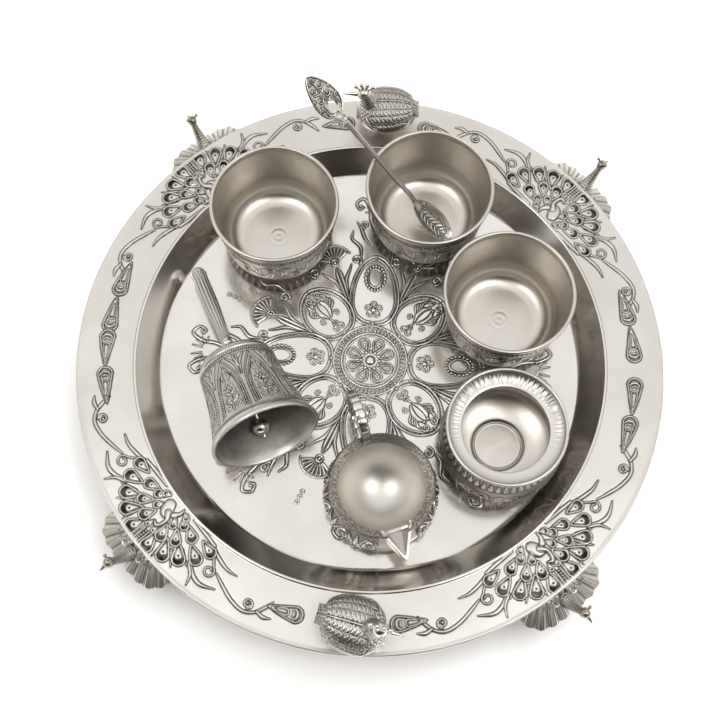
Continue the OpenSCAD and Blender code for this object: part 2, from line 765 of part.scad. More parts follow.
module bell_body() {
    color(silver)
    at_bell()
        difference() {
            union() {
                rotate_extrude()
                    polygon(concat(bell_line(0), [[0, bell_crown_at], [0, bell_crown_at - bell_wall]],
                        reversed(bell_line(bell_wall))));
                // Shoulder bead, on which the bell rests, and the bead above the lip band
                translate([0, 0, bell_shoulder_at])
                    rotate_extrude()
                        translate([bell_shoulder_r - bell_bead_r, 0])
                            circle(r = bell_bead_r, $fn = small_fn);
            }
            translate([0, 0, bell_shoulder_at])
                cylinder(h = bell_crown_h + overrun, r = bell_stud_r + hole_clear);
        }
}

// Grip: collar, ridged baluster and rounded end
bell_grip_r = bell_grip_d / 2;
bell_neck_r = 3.2;
// Where the handle is narrowest and where it is thickest, along its length
bell_handle_neck_share = 0.14;
bell_handle_swell_share = 0.62;
// Nut plate under the crown
bell_plate_t = 1.2;

module bell_handle() {
    neck_z = bell_handle_neck_share * bell_handle_len;
    swell_z = bell_handle_swell_share * bell_handle_len;
    color(antique)
    at_bell()
        translate([0, 0, bell_crown_at])
            difference() {
                rotate_extrude()
                    polygon(concat(
                        [[0, 0], [bell_collar_r, 0]],
                        arc(bell_collar_r, bell_wall + bell_collar_r - bell_neck_r,
                            bell_collar_r - bell_neck_r, 270, 180),
                        [[bell_neck_r, neck_z]],
                        [for (i = [1:arc_steps]) let (t = i / arc_steps)
                            [bell_neck_r + (bell_grip_r - bell_neck_r) * (1 - cos(180 * t)) / 2,
                             neck_z + (swell_z - neck_z) * t]],
                        arc(0, bell_handle_len - bell_grip_r, bell_grip_r, 0, 90)));
                // Bore for the stud
                translate([0, 0, -overrun])
                    cylinder(h = neck_z + overrun, r = bell_stud_r + hole_clear);
            }
}

// Stud through the crown: it holds the handle on, and its staple carries the clapper's pin
module bell_stud() {
    gap_half = clapper_eye_w / 2 + gap;
    head_z = bell_crown_at - bell_wall - bell_plate_t;
    color(bright)
    at_bell() {
        translate([0, 0, head_z])
            cylinder(h = bell_crown_at + bell_handle_neck_share * bell_handle_len - gap - head_z,
                r = bell_stud_r);
        // Nut plate under the crown
        translate([0, 0, head_z])
            cylinder(h = bell_plate_t, r = bell_stud_r * 2);
        // Staple cheeks and pin
        for (side = [1, -1])
            translate([-bell_stud_r, side * (gap_half + staple_w / 2) - staple_w / 2,
                bell_pivot_at - bell_stud_r])
                cube([2 * bell_stud_r, staple_w, head_z - bell_pivot_at + bell_stud_r + weld]);
        translate([0, gap_half + staple_w, bell_pivot_at])
            rotate([90, 0, 0])
                cylinder(h = 2 * (gap_half + staple_w), r = bell_pin_r);
    }
}

// The clapper hangs to the low side of the lying bell and rests just clear of its wall
clapper_drop_share = 0.87;
clapper_ball_at = bell_pivot_at - clapper_len * clapper_drop_share;
clapper_swing = asin((bell_out_r(clapper_ball_at) - bell_wall - clapper_ball_r - 2 * gap) / clapper_len);

module bell_clapper() {
    color(bright)
    at_bell()
        translate([0, 0, bell_pivot_at])
            rotate([0, 180 + clapper_swing, 0])
                difference() {
                    union() {
                        translate([0, clapper_eye_w / 2, 0])
                            rotate([90, 0, 0])
                                cylinder(h = clapper_eye_w, r = clapper_eye_r);
                        cylinder(h = clapper_len, r = clapper_rod_r);
                        translate([0, 0, clapper_len]) sphere(r = clapper_ball_r);
                        translate([0, 0, clapper_len])
                            cylinder(h = clapper_ball_r + clapper_tail, r = clapper_tail_r);
                    }
                    translate([0, clapper_eye_w, 0])
                        rotate([90, 0, 0])
                            cylinder(h = 2 * clapper_eye_w, r = bell_pin_r + pin_clear);
                }
}

// Spoon: it stands in the back bowl, its tip on the bowl's floor and its stem on the lip.
// Worked out in the upright plane of the stem: x runs from the tip to the finial, z is up

spoon_plane_turn = 151;
spoon_bowl_pitch = 36;
spoon_stem_pitch = 42.5;
finial_pitch = 40;
spoon_sheet = 1;
spoon_tip_rise = bowl_sheet + spoon_sheet + gap;
spoon_eyelet_r = 2.7;
spoon_eyelet_t = 1.8;
spoon_eyelet_hole_r = 1.35;
spoon_rib_r = 1.8;
spoon_rib_count = 3;
finial_t = 1.8;
// Window near the leaf's base
finial_window_r = 2.4;
finial_window_share = 0.2;
// Where the stem crosses the bowl's lip, seen from the spoon's tip
spoon_neck = [spoon_bowl_len * cos(spoon_bowl_pitch), spoon_bowl_len * sin(spoon_bowl_pitch)];
spoon_lean_z = bowl_h - bowl_lip_r + (bowl_lip_r + spoon_stem_d / 2 + gap) / cos(spoon_stem_pitch);
spoon_lean_x = spoon_neck[0] + (spoon_lean_z - spoon_tip_rise - spoon_neck[1]) / tan(spoon_stem_pitch);
// Offset of the lip's crossing from the bowl's axis, square to the spoon's plane
spoon_plane_offset = 2;

module at_spoon() {
    place = at_polar(bowl_back_dist, bowl_back_turn);
    along = sqrt(pow(bowl_r - bowl_lip_r, 2) - pow(spoon_plane_offset, 2));
    translate([place[0], place[1], floor_top + spoon_tip_rise])
        rotate([0, 0, spoon_plane_turn])
            translate([along - spoon_lean_x, spoon_plane_offset, 0])
                children();
}

// A leaf-shaped hollow shell, concave side up
spoon_cols = 14;
spoon_rows = 8;
function spoon_point(i, j, low) = let (
        s = i / spoon_cols,
        x = spoon_bowl_len * s,
        half = spoon_bowl_w / 2 * pow(sin(180 * pow(s, 0.86)), 0.62) + spoon_stem_d / 3 * s * s,
        t = 2 * j / spoon_rows - 1,
        sag = spoon_bowl_depth * (1 - t * t) * pow(sin(180 * pow(s, 0.9)), 0.8)
    ) [x, half * t, -sag - (low ? spoon_sheet : 0)];

module spoon_bowl() {
    rows = spoon_rows;
    cols = spoon_cols;
    n = (cols + 1) * (rows + 1);
    pts = [for (low = [0, 1], i = [0:cols], j = [0:rows]) spoon_point(max(i, 0.25), j, low == 1)];
    top = [for (i = [0:cols - 1], j = [0:rows - 1]) let (a = i * (rows + 1) + j, b = a + rows + 1)
        each [[a, b + 1, b], [a, a + 1, b + 1]]];
    low = [for (f = top) [f[0] + n, f[2] + n, f[1] + n]];
    rim = concat(
        [for (j = [0:rows]) j],
        [for (i = [1:cols]) i * (rows + 1) + rows],
        [for (j = [rows - 1:-1:0]) cols * (rows + 1) + j],
        [for (i = [cols - 1:-1:1]) i * (rows + 1)]);
    m = len(rim);
    side = [for (k = [0:m - 1]) let (a = rim[k], b = rim[(k + 1) % m])
        each [[a, b + n, b], [a, a + n, b + n]]];
    color(silver)
    at_spoon()
        rotate([0, -spoon_bowl_pitch, 0])
            polyhedron(points = pts, faces = concat(top, low, side));
}

module at_stem() {
    at_spoon()
        translate([spoon_neck[0], 0, spoon_neck[1]])
            rotate([0, -spoon_stem_pitch, 0])
                children();
}

module spoon_stem() {
    color(silver)
    at_stem() {
        along_x() {
            cylinder(h = spoon_stem_len, r = spoon_stem_d / 2, $fn = small_fn);
            // Ribs near the eyelet
            for (i = [1:spoon_rib_count])
                translate([0, 0, spoon_stem_len - spoon_eyelet_r - i * spoon_rib_r])
                    cylinder(h = spoon_rib_r / 2, r = spoon_rib_r, $fn = small_fn);
        }
    }
}

// Spade leaf with a pierced heart near its base
function leaf_line(len, w) = [for (i = [0:24]) let (a = 360 * i / 24, s = (1 - cos(a)) / 2)
    [len * s, w / 2 * sin(a) * (1.35 - 0.6 * s) / 1.12]];

module spoon_finial() {
    color(antique)
    at_stem()
        translate([spoon_stem_len, 0, 0]) {
            // Eyelet
            difference() {
                translate([spoon_eyelet_r, 0, -spoon_eyelet_t / 2])
                    cylinder(h = spoon_eyelet_t, r = spoon_eyelet_r, $fn = small_fn * 2);
                translate([spoon_eyelet_r, 0, -spoon_eyelet_t])
                    cylinder(h = 2 * spoon_eyelet_t, r = spoon_eyelet_hole_r, $fn = small_fn * 2);
            }
            translate([2 * spoon_eyelet_r - weld, 0, 0])
                rotate([0, spoon_stem_pitch - finial_pitch, 0])
                    translate([0, 0, -finial_t / 2])
                        difference() {
                            linear_extrude(finial_t) polygon(leaf_line(finial_len, finial_w));
                            translate([finial_window_share * finial_len, 0, -overrun])
                                cylinder(h = finial_t + 2 * overrun, r = finial_window_r, $fn = small_fn);
                        }
        }
}

tray_dish();
foot_back_left();
foot_back_right();
foot_front_left();
foot_front_right();
figurine_back();
figurine_front();
figurine_screw_back();
figurine_screw_front();
bowl_left();
bowl_back();
bowl_right();
pot_belly();
pot_mouth();
lamp_cup();
lamp_handle();
bell_body();
bell_handle();
bell_stud();
bell_clapper();
spoon_bowl();
spoon_stem();
spoon_finial();
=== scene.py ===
import math
from types import SimpleNamespace as Sizes

import bpy
import numpy as np
from mathutils import Euler, Matrix, Vector


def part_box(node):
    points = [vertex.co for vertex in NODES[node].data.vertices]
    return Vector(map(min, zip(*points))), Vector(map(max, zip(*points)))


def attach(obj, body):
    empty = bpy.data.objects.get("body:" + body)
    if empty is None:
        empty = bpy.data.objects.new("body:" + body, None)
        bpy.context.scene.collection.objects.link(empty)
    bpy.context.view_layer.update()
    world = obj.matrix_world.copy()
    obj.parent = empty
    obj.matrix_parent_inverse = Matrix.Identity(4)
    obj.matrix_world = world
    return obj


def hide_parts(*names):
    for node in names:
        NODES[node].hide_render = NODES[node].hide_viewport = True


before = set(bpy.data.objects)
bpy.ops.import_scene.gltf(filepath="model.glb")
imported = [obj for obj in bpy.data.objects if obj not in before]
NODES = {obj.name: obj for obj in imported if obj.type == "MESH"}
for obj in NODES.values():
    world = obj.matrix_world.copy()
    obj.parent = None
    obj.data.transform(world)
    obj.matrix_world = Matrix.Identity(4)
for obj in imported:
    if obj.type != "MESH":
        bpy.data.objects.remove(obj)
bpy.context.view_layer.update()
MM = 0.001
SIDES = (-1, 1)
RNG = np.random.default_rng(7)


# Materials


def node(tree, kind, sources=None, settings=None, **values):
    """A shader node: settings are its own, values fill inputs, and sources link inputs to other outputs."""
    n = tree.nodes.new("ShaderNode" + kind)
    for key, value in (settings or {}).items():
        setattr(n, key, value)
    for key, value in values.items():
        n.inputs[key].default_value = value
    for key, source in (sources or {}).items():
        tree.links.new(source, n.inputs[key])
    return n


def math_node(tree, operation, a, b, clamp=False):
    return node(tree, "Math", {0: a, 1: b}, {"operation": operation, "use_clamp": clamp}).outputs["Value"]


def remap(tree, source, lo, hi, to_lo, to_hi):
    limits = {"From Min": lo, "From Max": hi, "To Min": to_lo, "To Max": to_hi}
    return node(tree, "MapRange", {"Value": source}, **limits).outputs["Result"]


def noise(tree, where, scale, detail, rough=0.5):
    n = node(tree, "TexNoise", {"Vector": where}, Scale=scale, Detail=detail, Roughness=rough)
    return n.outputs["Fac"]


def ramp(tree, source, stops):
    """Colours along a value: stops are (position, colour)."""
    n = node(tree, "ValToRGB", {"Fac": source})
    for k, (at, colour) in enumerate(stops):
        stop = n.color_ramp.elements[k] if k < 2 else n.color_ramp.elements.new(at)
        stop.position = at
        stop.color = (*colour, 1)
    return n.outputs["Color"]


def multiply(tree, a, b, factor):
    """Colour a multiplied by colour b."""
    settings = {"data_type": "RGBA", "blend_type": "MULTIPLY"}
    return node(tree, "Mix", {"A": a, "B": b}, settings, Factor=factor).outputs["Result"]


GRAIN_DEPTH, RING_SCALE = 0.0004, 2600.0


def metal(name, light, dark, rough, bump=0.0, bump_scale=900.0, brushed=0.0, speck=0.0):
    """Plated metal: a per-point attribute darkens and dulls the low places of the ornament, which hold real
    tarnish, and it also carries painted shade inside hollows and under the wings.
    brushed turns fine rings round the piece's own Z axis into it, and speck strews dark points over it."""
    m = bpy.data.materials.new(name)
    m.use_nodes = True
    t = m.node_tree
    b = t.nodes["Principled BSDF"]
    b.inputs["Metallic"].default_value = 1.0
    tarnish_and_shade = node(t, "Attribute", settings={"attribute_name": "tarnish_and_shade"}).outputs["Fac"]
    where = node(t, "TexCoord").outputs["Object"]
    # Uneven darkening, of real tarnish and painted shade alike: patches in the low places, and a faint cloud
    # all over
    uneven = remap(t, noise(t, where, 170.0, 8.0, 0.62), 0.3, 0.62, 0.8, 1.2)
    depth = math_node(t, "MULTIPLY", tarnish_and_shade, uneven, clamp=True)
    if speck:
        points = remap(t, noise(t, where, 900.0, 2.0), 0.60, 0.44, 0.0, speck)
        depth = math_node(t, "MAXIMUM", depth, points)
    colour = node(t, "Mix", {"Factor": depth}, {"data_type": "RGBA"}, A=(*light, 1), B=(*dark, 1))
    cloud = ramp(t, noise(t, where, 34.0, 5.0), ((0.35, (0.86, 0.83, 0.79)), (0.65, (1, 1, 1))))
    t.links.new(multiply(t, colour.outputs["Result"], cloud, 0.5), b.inputs["Base Color"])
    t.links.new(remap(t, depth, 0, 1, rough, min(0.8, rough + 0.35)), b.inputs["Roughness"])
    if brushed:
        b.inputs["Anisotropic"].default_value = brushed
        tangent = node(t, "Tangent", settings={"direction_type": "RADIAL", "axis": "Z"})
        t.links.new(tangent.outputs["Tangent"], b.inputs["Tangent"])
        split = node(t, "SeparateXYZ", {"Vector": where})
        flat = node(t, "CombineXYZ", {"X": split.outputs["X"], "Y": split.outputs["Y"]})
        radius = node(t, "VectorMath", {0: flat.outputs["Vector"]}, {"operation": "LENGTH"})
        rings = node(t, "CombineXYZ", {"X": radius.outputs["Value"], "Y": split.outputs["Z"]})
        where, bump_scale = rings.outputs["Vector"], RING_SCALE
    if bump:
        grain = noise(t, where, bump_scale, 3.0)
        lift = node(t, "Bump", {"Height": grain}, Strength=bump, Distance=GRAIN_DEPTH)
        t.links.new(lift.outputs["Normal"], b.inputs["Normal"])
    return m


LIGHT, BRIGHT = (0.70, 0.68, 0.65), (0.76, 0.74, 0.71)
DARK = (0.022, 0.018, 0.014)
SATIN = metal("satin_silver", LIGHT, DARK, 0.33, bump=0.12)
MIRROR = metal("bright_silver", BRIGHT, DARK, 0.16, bump=0.04)
POLISHED = metal("polished_silver", BRIGHT, DARK, 0.20, bump=0.04)
BRUSHED = metal("turned_silver", (0.68, 0.65, 0.605), DARK, 0.29, bump=0.10, brushed=0.6)
ANTIQUE = metal("antique_silver", (0.78, 0.755, 0.71), (0.03, 0.025, 0.02), 0.24, bump=0.15)
CUP_INSIDE = metal("cup_silver", (0.70, 0.68, 0.645), DARK, 0.36, bump=0.05)
DARKEST = metal("blackened_silver", (0.42, 0.39, 0.345), (0.03, 0.026, 0.022), 0.28, bump=0.15)
STIPPLED = metal("stippled_silver", (0.70, 0.67, 0.62), (0.04, 0.034, 0.028), 0.30, bump=0.5,
                 bump_scale=1500.0, speck=0.6)


# Ornament is drawn on canvases: a height and a tarnish value for each point, in millimetres

CUT = 0.15


class Canvas:
    def __init__(self, x0, x1, y0, y1, res, wrap=False, spread=1.7, ground=0.0):
        """wrap joins the left and right edges, spread widens all grooves, and ground is the bare tarnish."""
        self.wrap, self.spread = wrap, spread
        self.x0, self.x1, self.y0, self.y1 = x0, x1, y0, y1
        self.nx = int(round((x1 - x0) / res))
        self.ny = int(round((y1 - y0) / res))
        self.rx = (x1 - x0) / self.nx
        self.ry = (y1 - y0) / self.ny
        self.h = np.zeros((self.ny, self.nx), np.float32)
        self.t = np.full((self.ny, self.nx), ground, np.float32)

    def curve(self, pts, n=12, **look):
        """A stroke along a smooth curve through pts."""
        self.stroke(spline(pts, n), **look)

    def stroke(self, pts, height=0.5, groove=0.35, dark=0.85, top=0.0, ring=None):
        """A rounded ridge along pts (x, y, radius) in a dark groove; top is the ridge's own tarnish.
        ring = (inset, half width, height, inner tarnish) draws its outline only."""
        p = np.array(pts, float)
        for k in (-1, 0, 1) if self.wrap else (0,):
            shifted = p + [k * (self.x1 - self.x0), 0, 0]
            self._draw(shifted, height, groove * self.spread, min(1.0, dark * 1.15), top, ring)

    def _draw(self, p, height, groove, dark, top, ring):
        pad = groove + 0.3
        lo = (p[:, :2] - p[:, 2:]).min(0) - pad
        hi = (p[:, :2] + p[:, 2:]).max(0) + pad
        i0 = max(0, int((lo[0] - self.x0) / self.rx))
        i1 = min(self.nx, int((hi[0] - self.x0) / self.rx) + 2)
        j0 = max(0, int((lo[1] - self.y0) / self.ry))
        j1 = min(self.ny, int((hi[1] - self.y0) / self.ry) + 2)
        if i0 >= i1 or j0 >= j1:
            return
        gx, gy = np.meshgrid(
            self.x0 + (np.arange(i0, i1) + 0.5) * self.rx,
            self.y0 + (np.arange(j0, j1) + 0.5) * self.ry,
        )
        # Distance from the ridge's edge, and the radius of the nearest place on it
        sd = np.full(gx.shape, 1e9)
        rr = np.ones(gx.shape)
        if len(p) == 1:
            p = np.concatenate([p, p + [1e-6, 0, 0]])
        for a, b in zip(p[:-1], p[1:]):
            d = b[:2] - a[:2]
            l2 = max(1e-12, float(d @ d))
            u = np.clip(((gx - a[0]) * d[0] + (gy - a[1]) * d[1]) / l2, 0, 1)
            r = a[2] + (b[2] - a[2]) * u
            dist = np.hypot(gx - a[0] - d[0] * u, gy - a[1] - d[1] * u) - r
            better = dist < sd
            sd = np.where(better, dist, sd)
            rr = np.where(better, r, rr)
        h = self.h[j0:j1, i0:i1]
        t = self.t[j0:j1, i0:i1]
        if ring:
            inset, half, rh, inner = ring
            off = np.abs(sd + inset)
            inside = sd + inset < 0
            h[...] = np.where(inside, -CUT, h)
            t[...] = np.where(inside, np.maximum(inner, t * 0.3), t)
            on = off < half
            line = rh * np.sqrt(np.clip(1 - (off / half) ** 2, 0, 1))
            h[...] = np.where(on, line, h)
            edge = np.clip(1.5 - 1.5 * np.abs(off - half) / max(groove, 1e-6), 0, 1)
            t[...] = np.where(on, 0.0, np.maximum(t, edge * dark))
            return
        on = sd < 0
        depth = np.clip(-sd / np.maximum(rr, 1e-6), 0, 1)
        body = height * np.sqrt(np.clip(1 - (1 - depth) ** 2, 0, 1))
        out = np.clip(1.5 - 1.5 * sd / max(groove, 1e-6), 0, 1) * (sd >= 0)
        h[...] = np.where(on, body, h - CUT * out)
        t[...] = np.where(on, top + (1 - top) * 0.3 * dark * (1 - depth) ** 4, np.maximum(t, out * dark))

    def sample(self, x, y):
        """Height and tarnish at x, y; both are zero outside the canvas."""
        fx = (np.asarray(x) - self.x0) / self.rx - 0.5
        fy = (np.asarray(y) - self.y0) / self.ry - 0.5
        out = (fy < 0) | (fy > self.ny - 1)
        if self.wrap:
            fx = np.mod(fx, self.nx)
        else:
            out |= (fx < 0) | (fx > self.nx - 1)
            fx = np.clip(fx, 0, self.nx - 1.001)
        fy = np.clip(fy, 0, self.ny - 1.001)
        i, j = np.floor(fx).astype(int), np.floor(fy).astype(int)
        u, v = fx - i, fy - j
        i1, j1, i = (i + 1) % self.nx, j + 1, i % self.nx

        def pick(g):
            value = (g[j, i] * (1 - u) * (1 - v) + g[j, i1] * u * (1 - v)
                     + g[j1, i] * (1 - u) * v + g[j1, i1] * u * v)
            return np.where(out, 0, value)

        return pick(self.h), pick(self.t)


def spline(pts, n=12):
    """Points of a smooth curve through pts, whose last column is the radius."""
    p = np.array(pts, float)
    q = np.concatenate([[2 * p[0] - p[1]], p, [2 * p[-1] - p[-2]]])
    out = []
    for a, b, c, d in zip(q[:-3], q[1:-2], q[2:-1], q[3:]):
        for k in range(n):
            t = k / n
            out.append(0.5 * (2 * b + (c - a) * t + (2 * a - 5 * b + 4 * c - d) * t * t
                              + (3 * b - a - 3 * c + d) * t ** 3))
    out.append(p[-1])
    out = np.array(out)
    out[:, 2] = np.maximum(out[:, 2], 0.08)
    return out


def spiral(cx, cy, r0, r1, a0, turns, w0, w1, n=28):
    """Points of a spiral from its eye outwards."""
    return [(cx + (r0 + (r1 - r0) * k / n) * math.cos(a0 + turns * 2 * math.pi * k / n),
             cy + (r0 + (r1 - r0) * k / n) * math.sin(a0 + turns * 2 * math.pi * k / n),
             w0 + (w1 - w0) * k / n) for k in range(n + 1)]


def drop(x, y, tx, ty, r, n=8):
    """Round end at x, y and a pointed tip at tx, ty."""
    return [(x + (tx - x) * k / n, y + (ty - y) * k / n, r * (1 - k / n) ** 0.75 + 0.12)
            for k in range(n + 1)]


def polar(r, a, w):
    """A point of a stroke at radius r and angle a."""
    return r * math.cos(a), r * math.sin(a), w


def shares(n):
    """The angles of n equal shares of a turn."""
    return [2 * math.pi * k / n for k in range(n)]


def arc(a0, a1, n):
    """Angles from a0 to a1, given in degrees."""
    return np.radians(np.linspace(a0, a1, n))


# Meshes from grids of points


def grid_mesh(name, grid, tarnish_and_shade, material, outward=True, pole0=None, pole1=None, wrap=True):
    """Rows run along the profile and columns round the axis."""
    n, m, _ = grid.shape
    verts = grid.reshape(-1, 3)
    values = np.asarray(tarnish_and_shade, float).reshape(-1)
    cols = m if wrap else m - 1
    i, j = np.meshgrid(np.arange(n - 1), np.arange(cols), indexing="ij")
    a, b = i * m + j, i * m + (j + 1) % m
    c, d = (i + 1) * m + (j + 1) % m, (i + 1) * m + j
    quads = np.stack([a, b, c, d] if outward else [a, d, c, b], -1).reshape(-1, 4)
    loops = [quads.reshape(-1)]
    sizes = [np.full(len(quads), 4)]
    extra = []
    for pole, row, flip in ((pole0, 0, False), (pole1, n - 1, True)):
        if pole is None:
            continue
        k = len(verts) + len(extra)
        extra.append(pole)
        j = np.arange(m)
        tri = np.stack([np.full(m, k), row * m + (j + 1) % m, row * m + j], -1)
        if flip == outward:
            tri = tri[:, [0, 2, 1]]
        loops.append(tri.reshape(-1))
        sizes.append(np.full(m, 3))
    if extra:
        verts = np.concatenate([verts, np.array(extra, float)])
        values = np.concatenate([values, np.zeros(len(extra))])
    loops, sizes = np.concatenate(loops), np.concatenate(sizes)
    me = bpy.data.meshes.new(name)
    me.vertices.add(len(verts))
    me.vertices.foreach_set("co", (verts * MM).astype(np.float32).reshape(-1))
    me.loops.add(len(loops))
    me.loops.foreach_set("vertex_index", loops.astype(np.int32))
    me.polygons.add(len(sizes))
    me.polygons.foreach_set("loop_start", np.concatenate([[0], np.cumsum(sizes)[:-1]]).astype(np.int32))
    me.polygons.foreach_set("use_smooth", np.ones(len(sizes), bool))
    me.update(calc_edges=True)
    me.validate()
    at = me.attributes.new("tarnish_and_shade", "FLOAT", "POINT")
    at.data.foreach_set("value", np.clip(values, 0, 1).astype(np.float32))
    o = bpy.data.objects.new(name, me)
    bpy.context.scene.collection.objects.link(o)
    me.materials.append(material)
    return o


def place(o, body, slot, *nodes):
    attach(o, body)
    if nodes:
        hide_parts(*nodes)
    return o


# Tray

TRAY_R, RIM_IN, FLOOR_R = 171.45, 137.35, 123.95
RIM_Z, FLOOR_Z, SHEET = 38.0, 25.85, 1.2
# Millimetres along the rim for each degree of turn
PER_DEG = 2.705


def feather(c, start, aim, r, length):
    """An eye of a peacock's tail: an outlined drop with a smaller drop inside it."""
    (x, y), (bx, by) = start[:2], aim[:2]
    d = math.hypot(bx - x, by - y)
    ux, uy = (bx - x) / d, (by - y) / d
    outer = drop(x, y, x + ux * length, y + uy * length, r)
    c.stroke(outer, ring=(0.4, 0.45, 0.9, 0.85), groove=0.36, dark=1)
    x, y = x + ux * r * 0.45, y + uy * r * 0.45
    inner = drop(x, y, x + ux * length * 0.5, y + uy * length * 0.5, r * 0.55)
    c.stroke(inner, height=0.85, groove=0.2, dark=1)
    c.stroke([(x, y, r * 0.16)], groove=0.1, dark=0.5, top=0.9)


# One half of a fan, drawn on the unrolled rim: place along the rim, place in from its outside
# and half width. The first two are in the drawing's units, whose number to a millimetre is given here.
FAN_MIDDLE, FAN_OUTSIDE, FAN_ALONG, FAN_ACROSS = 845, 173, 15.4, 16
FAN_BLADES = (
    ((1300, 262, 0.7), (1390, 190, 1.0), (1480, 165, 0.9), (1600, 200, 0.15)),
    ((1290, 250, 0.6), (1365, 180, 0.55), (1392, 90, 0.1)),
    ((1400, 480, 0.6), (1480, 440, 0.9), (1600, 400, 0.7), (1700, 395, 0.12)),
    ((1380, 500, 0.8), (1240, 530, 0.9), (1060, 545, 0.3)),
)
# The tendril ends beside the row of leaves
FAN_TENDRIL = (
    ((1540, 320, 0.3), (1640, 262, 0.75), (1760, 195, 0.8), (1880, 160, 0.8), (1970, 190, 0.7),
     (2040, 262, 0.8), (2085, 330, 0.1)),
    ((1985, 205, 0.5), (2050, 180, 0.9), (2110, 190, 0.12)),
)
# Short blades between the eyes, from the outside inwards
FAN_STEMS = (((1035, 75), (1028, 250)), ((1207, 118), (1110, 232)), ((1300, 215), (1180, 300)))
# Eyes: place, radius and length in millimetres before EYE_WIDE and EYE_LONG
FAN_EYES = (
    (945, 95, 2.7, 8.5), (1090, 143, 2.75, 9), (1210, 213, 2.75, 8.5), (1320, 312, 2.7, 8),
    (1388, 432, 2.5, 8), (962, 245, 2.4, 6.5), (1085, 305, 2.2, 6.5), (1168, 425, 2.4, 7),
    (965, 382, 1.6, 4.2), (1042, 448, 1.9, 4.6), (1000, 505, 1.4, 3),
)
EYE_WIDE, EYE_LONG = 1.38, 1.1
# The small bird at the fan's root, and the height of each of its lines
FAN_BIRD = (
    (((800, 470, 3.4), (825, 420, 3.6), (850, 400, 2.4)), 1.1),
    (((850, 420, 1.8), (890, 370, 1.2), (888, 300, 1.0), (862, 272, 1.1), (825, 290, 0.3)), 1.3),
    (((900, 440, 1.6), (930, 490, 1.0), (925, 540, 0.3)), 0.8),
)


def fan(c, turn):
    """One embossed peacock tail with blades and tendrils on both sides."""
    curl_look = {"height": 0.8, "groove": 0.4, "dark": 0.9}

    def at(px, py, w=0.0, side=1):
        return turn * PER_DEG + side * (px - FAN_MIDDLE) / FAN_ALONG, FAN_OUTSIDE - py / FAN_ACROSS, w

    def line(pts, side=1, height=0.7):
        c.curve([at(*p, side) for p in pts], 8, height=height, groove=0.4, dark=0.9)

    def curl(side, px, py, size, way, slack, angles, w):
        """A hook whose radius shrinks as its angle grows."""
        pts = []
        for a in angles:
            r = size * (1 - a / slack)
            pts.append(at(px + r * math.cos(a), py + way * r * math.sin(a), w, side))
        return pts

    for s in SIDES:
        for pts in FAN_BLADES:
            line(pts, s)
        hook = curl(s, 1470, 300, 48, -1, 12, np.linspace(5.6, -1.2, 26), 0.42)
        c.stroke(hook + [at(1430, 430, 0.5, s)], **curl_look)
        for pts in FAN_TENDRIL:
            line(pts, s)
        c.stroke(curl(s, 1895, 235, 38, 1, 14, np.linspace(6.0, -1.4, 24), 0.45), **curl_look)
        c.stroke([at(1890, 238, 0.8, s)], height=0.9, dark=0.9)
        for (px, py), (qx, qy) in FAN_STEMS:
            line([(px, py, 0.12), ((px + qx) / 2, (py + qy) / 2, 0.5), (qx, qy, 0.4)], s)
        for px, py, r, length in FAN_EYES:
            feather(c, at(px, py, 0, s), at(850, 590), r * EYE_WIDE, length * EYE_LONG)
    # Crest column and the small bird at the base
    for k in range(5):
        c.stroke([at(850, 70 + k * 26, 0.75)], height=0.7, dark=0.9)
    for px in (825, 875):
        line([(px, 62, 0.3), (px, 200, 0.35)])
    for px in (815, 885):
        feather(c, at(px, 225), at(850, 560), 1.5, 4)
    for pts, height in FAN_BIRD:
        line(pts, height=height)


def leaf(c, turn, r, length, way):
    """One embossed leaf of the rim; way +1 points its tip to larger angles."""
    w = 4.4
    tip = turn * PER_DEG + way * length / 2
    root = turn * PER_DEG - way * (length / 2 - w)
    c.stroke(drop(root, r, tip, r, w), ring=(0.45, 0.45, 0.9, 0.12), groove=0.5, dark=0.95)
    c.stroke(drop(root + way * 5.5, r, tip - way * 2.2, r, 2.0), ring=(0.25, 0.32, 0.7, 0.1), groove=0.4)
    c.stroke(drop(root + way * 6.2, r, tip - way * 5.0, r, 1.1), height=0.9, dark=0.8)
    # Two crescents at its round end
    for start, rad, wid in ((1.9, 3.3, 0.95), (2.5, 1.7, 0.7)):
        crescent = [(root + way * (start - rad * math.cos(a)), r + rad * math.sin(a),
                     wid * (1 - 0.6 * abs(a))) for a in np.linspace(-1.25, 1.25, 12)]
        c.stroke(crescent, height=0.8)


# Turn of each leaf and the way its tip points: at the left and right, then beside the figurines
SIDE_LEAVES = ((6.0, 1), (14.7, 1), (166.0, -1), (174.6, -1),
               (354.0, -1), (345.3, -1), (182.6, 1), (191.1, 1))
FIGURINE_LEAVES = ((78.5, -1), (101.0, 1), (256.2, -1), (281.1, 1))


def rim_canvas():
    c = Canvas(0, 360 * PER_DEG, 135.5, 172.0, 0.28, wrap=True)
    for turn in (43.6, 135.7, 223.5, 312.7):
        fan(c, turn)
    for turn, way in SIDE_LEAVES:
        leaf(c, turn, 154.5, 22.6, way)
    for turn, way in FIGURINE_LEAVES:
        leaf(c, turn, 155.0, 20.0, way)
    return c


def turned(pts, a, r, flip=1):
    """Local points (x along the radius, y across, w) placed at azimuth a and radius r."""
    ca, sa = math.cos(a), math.sin(a)
    return [((r + x) * ca - flip * y * sa, (r + x) * sa + flip * y * ca, w) for x, y, w in pts]


def lobe(draw, a, end):
    """A double line round one lobe of the floor, from the medallion out to end."""
    middle, root, half = 39.0, 22.4, 14.8
    for off, w in ((0.0, 0.5), (2.0, 0.4)):
        pts = []
        for b in np.linspace(0.04, math.pi - 0.02, 30):
            near = b < math.pi / 2
            run = (middle - root if near else end - middle) - off
            pts.append((middle - run * math.cos(b), (half - off) * math.sin(b) ** (0.8 if near else 1.1), w))
        for side in SIDES:
            draw(pts, a, 0, side, height=0.4, dark=0.95)


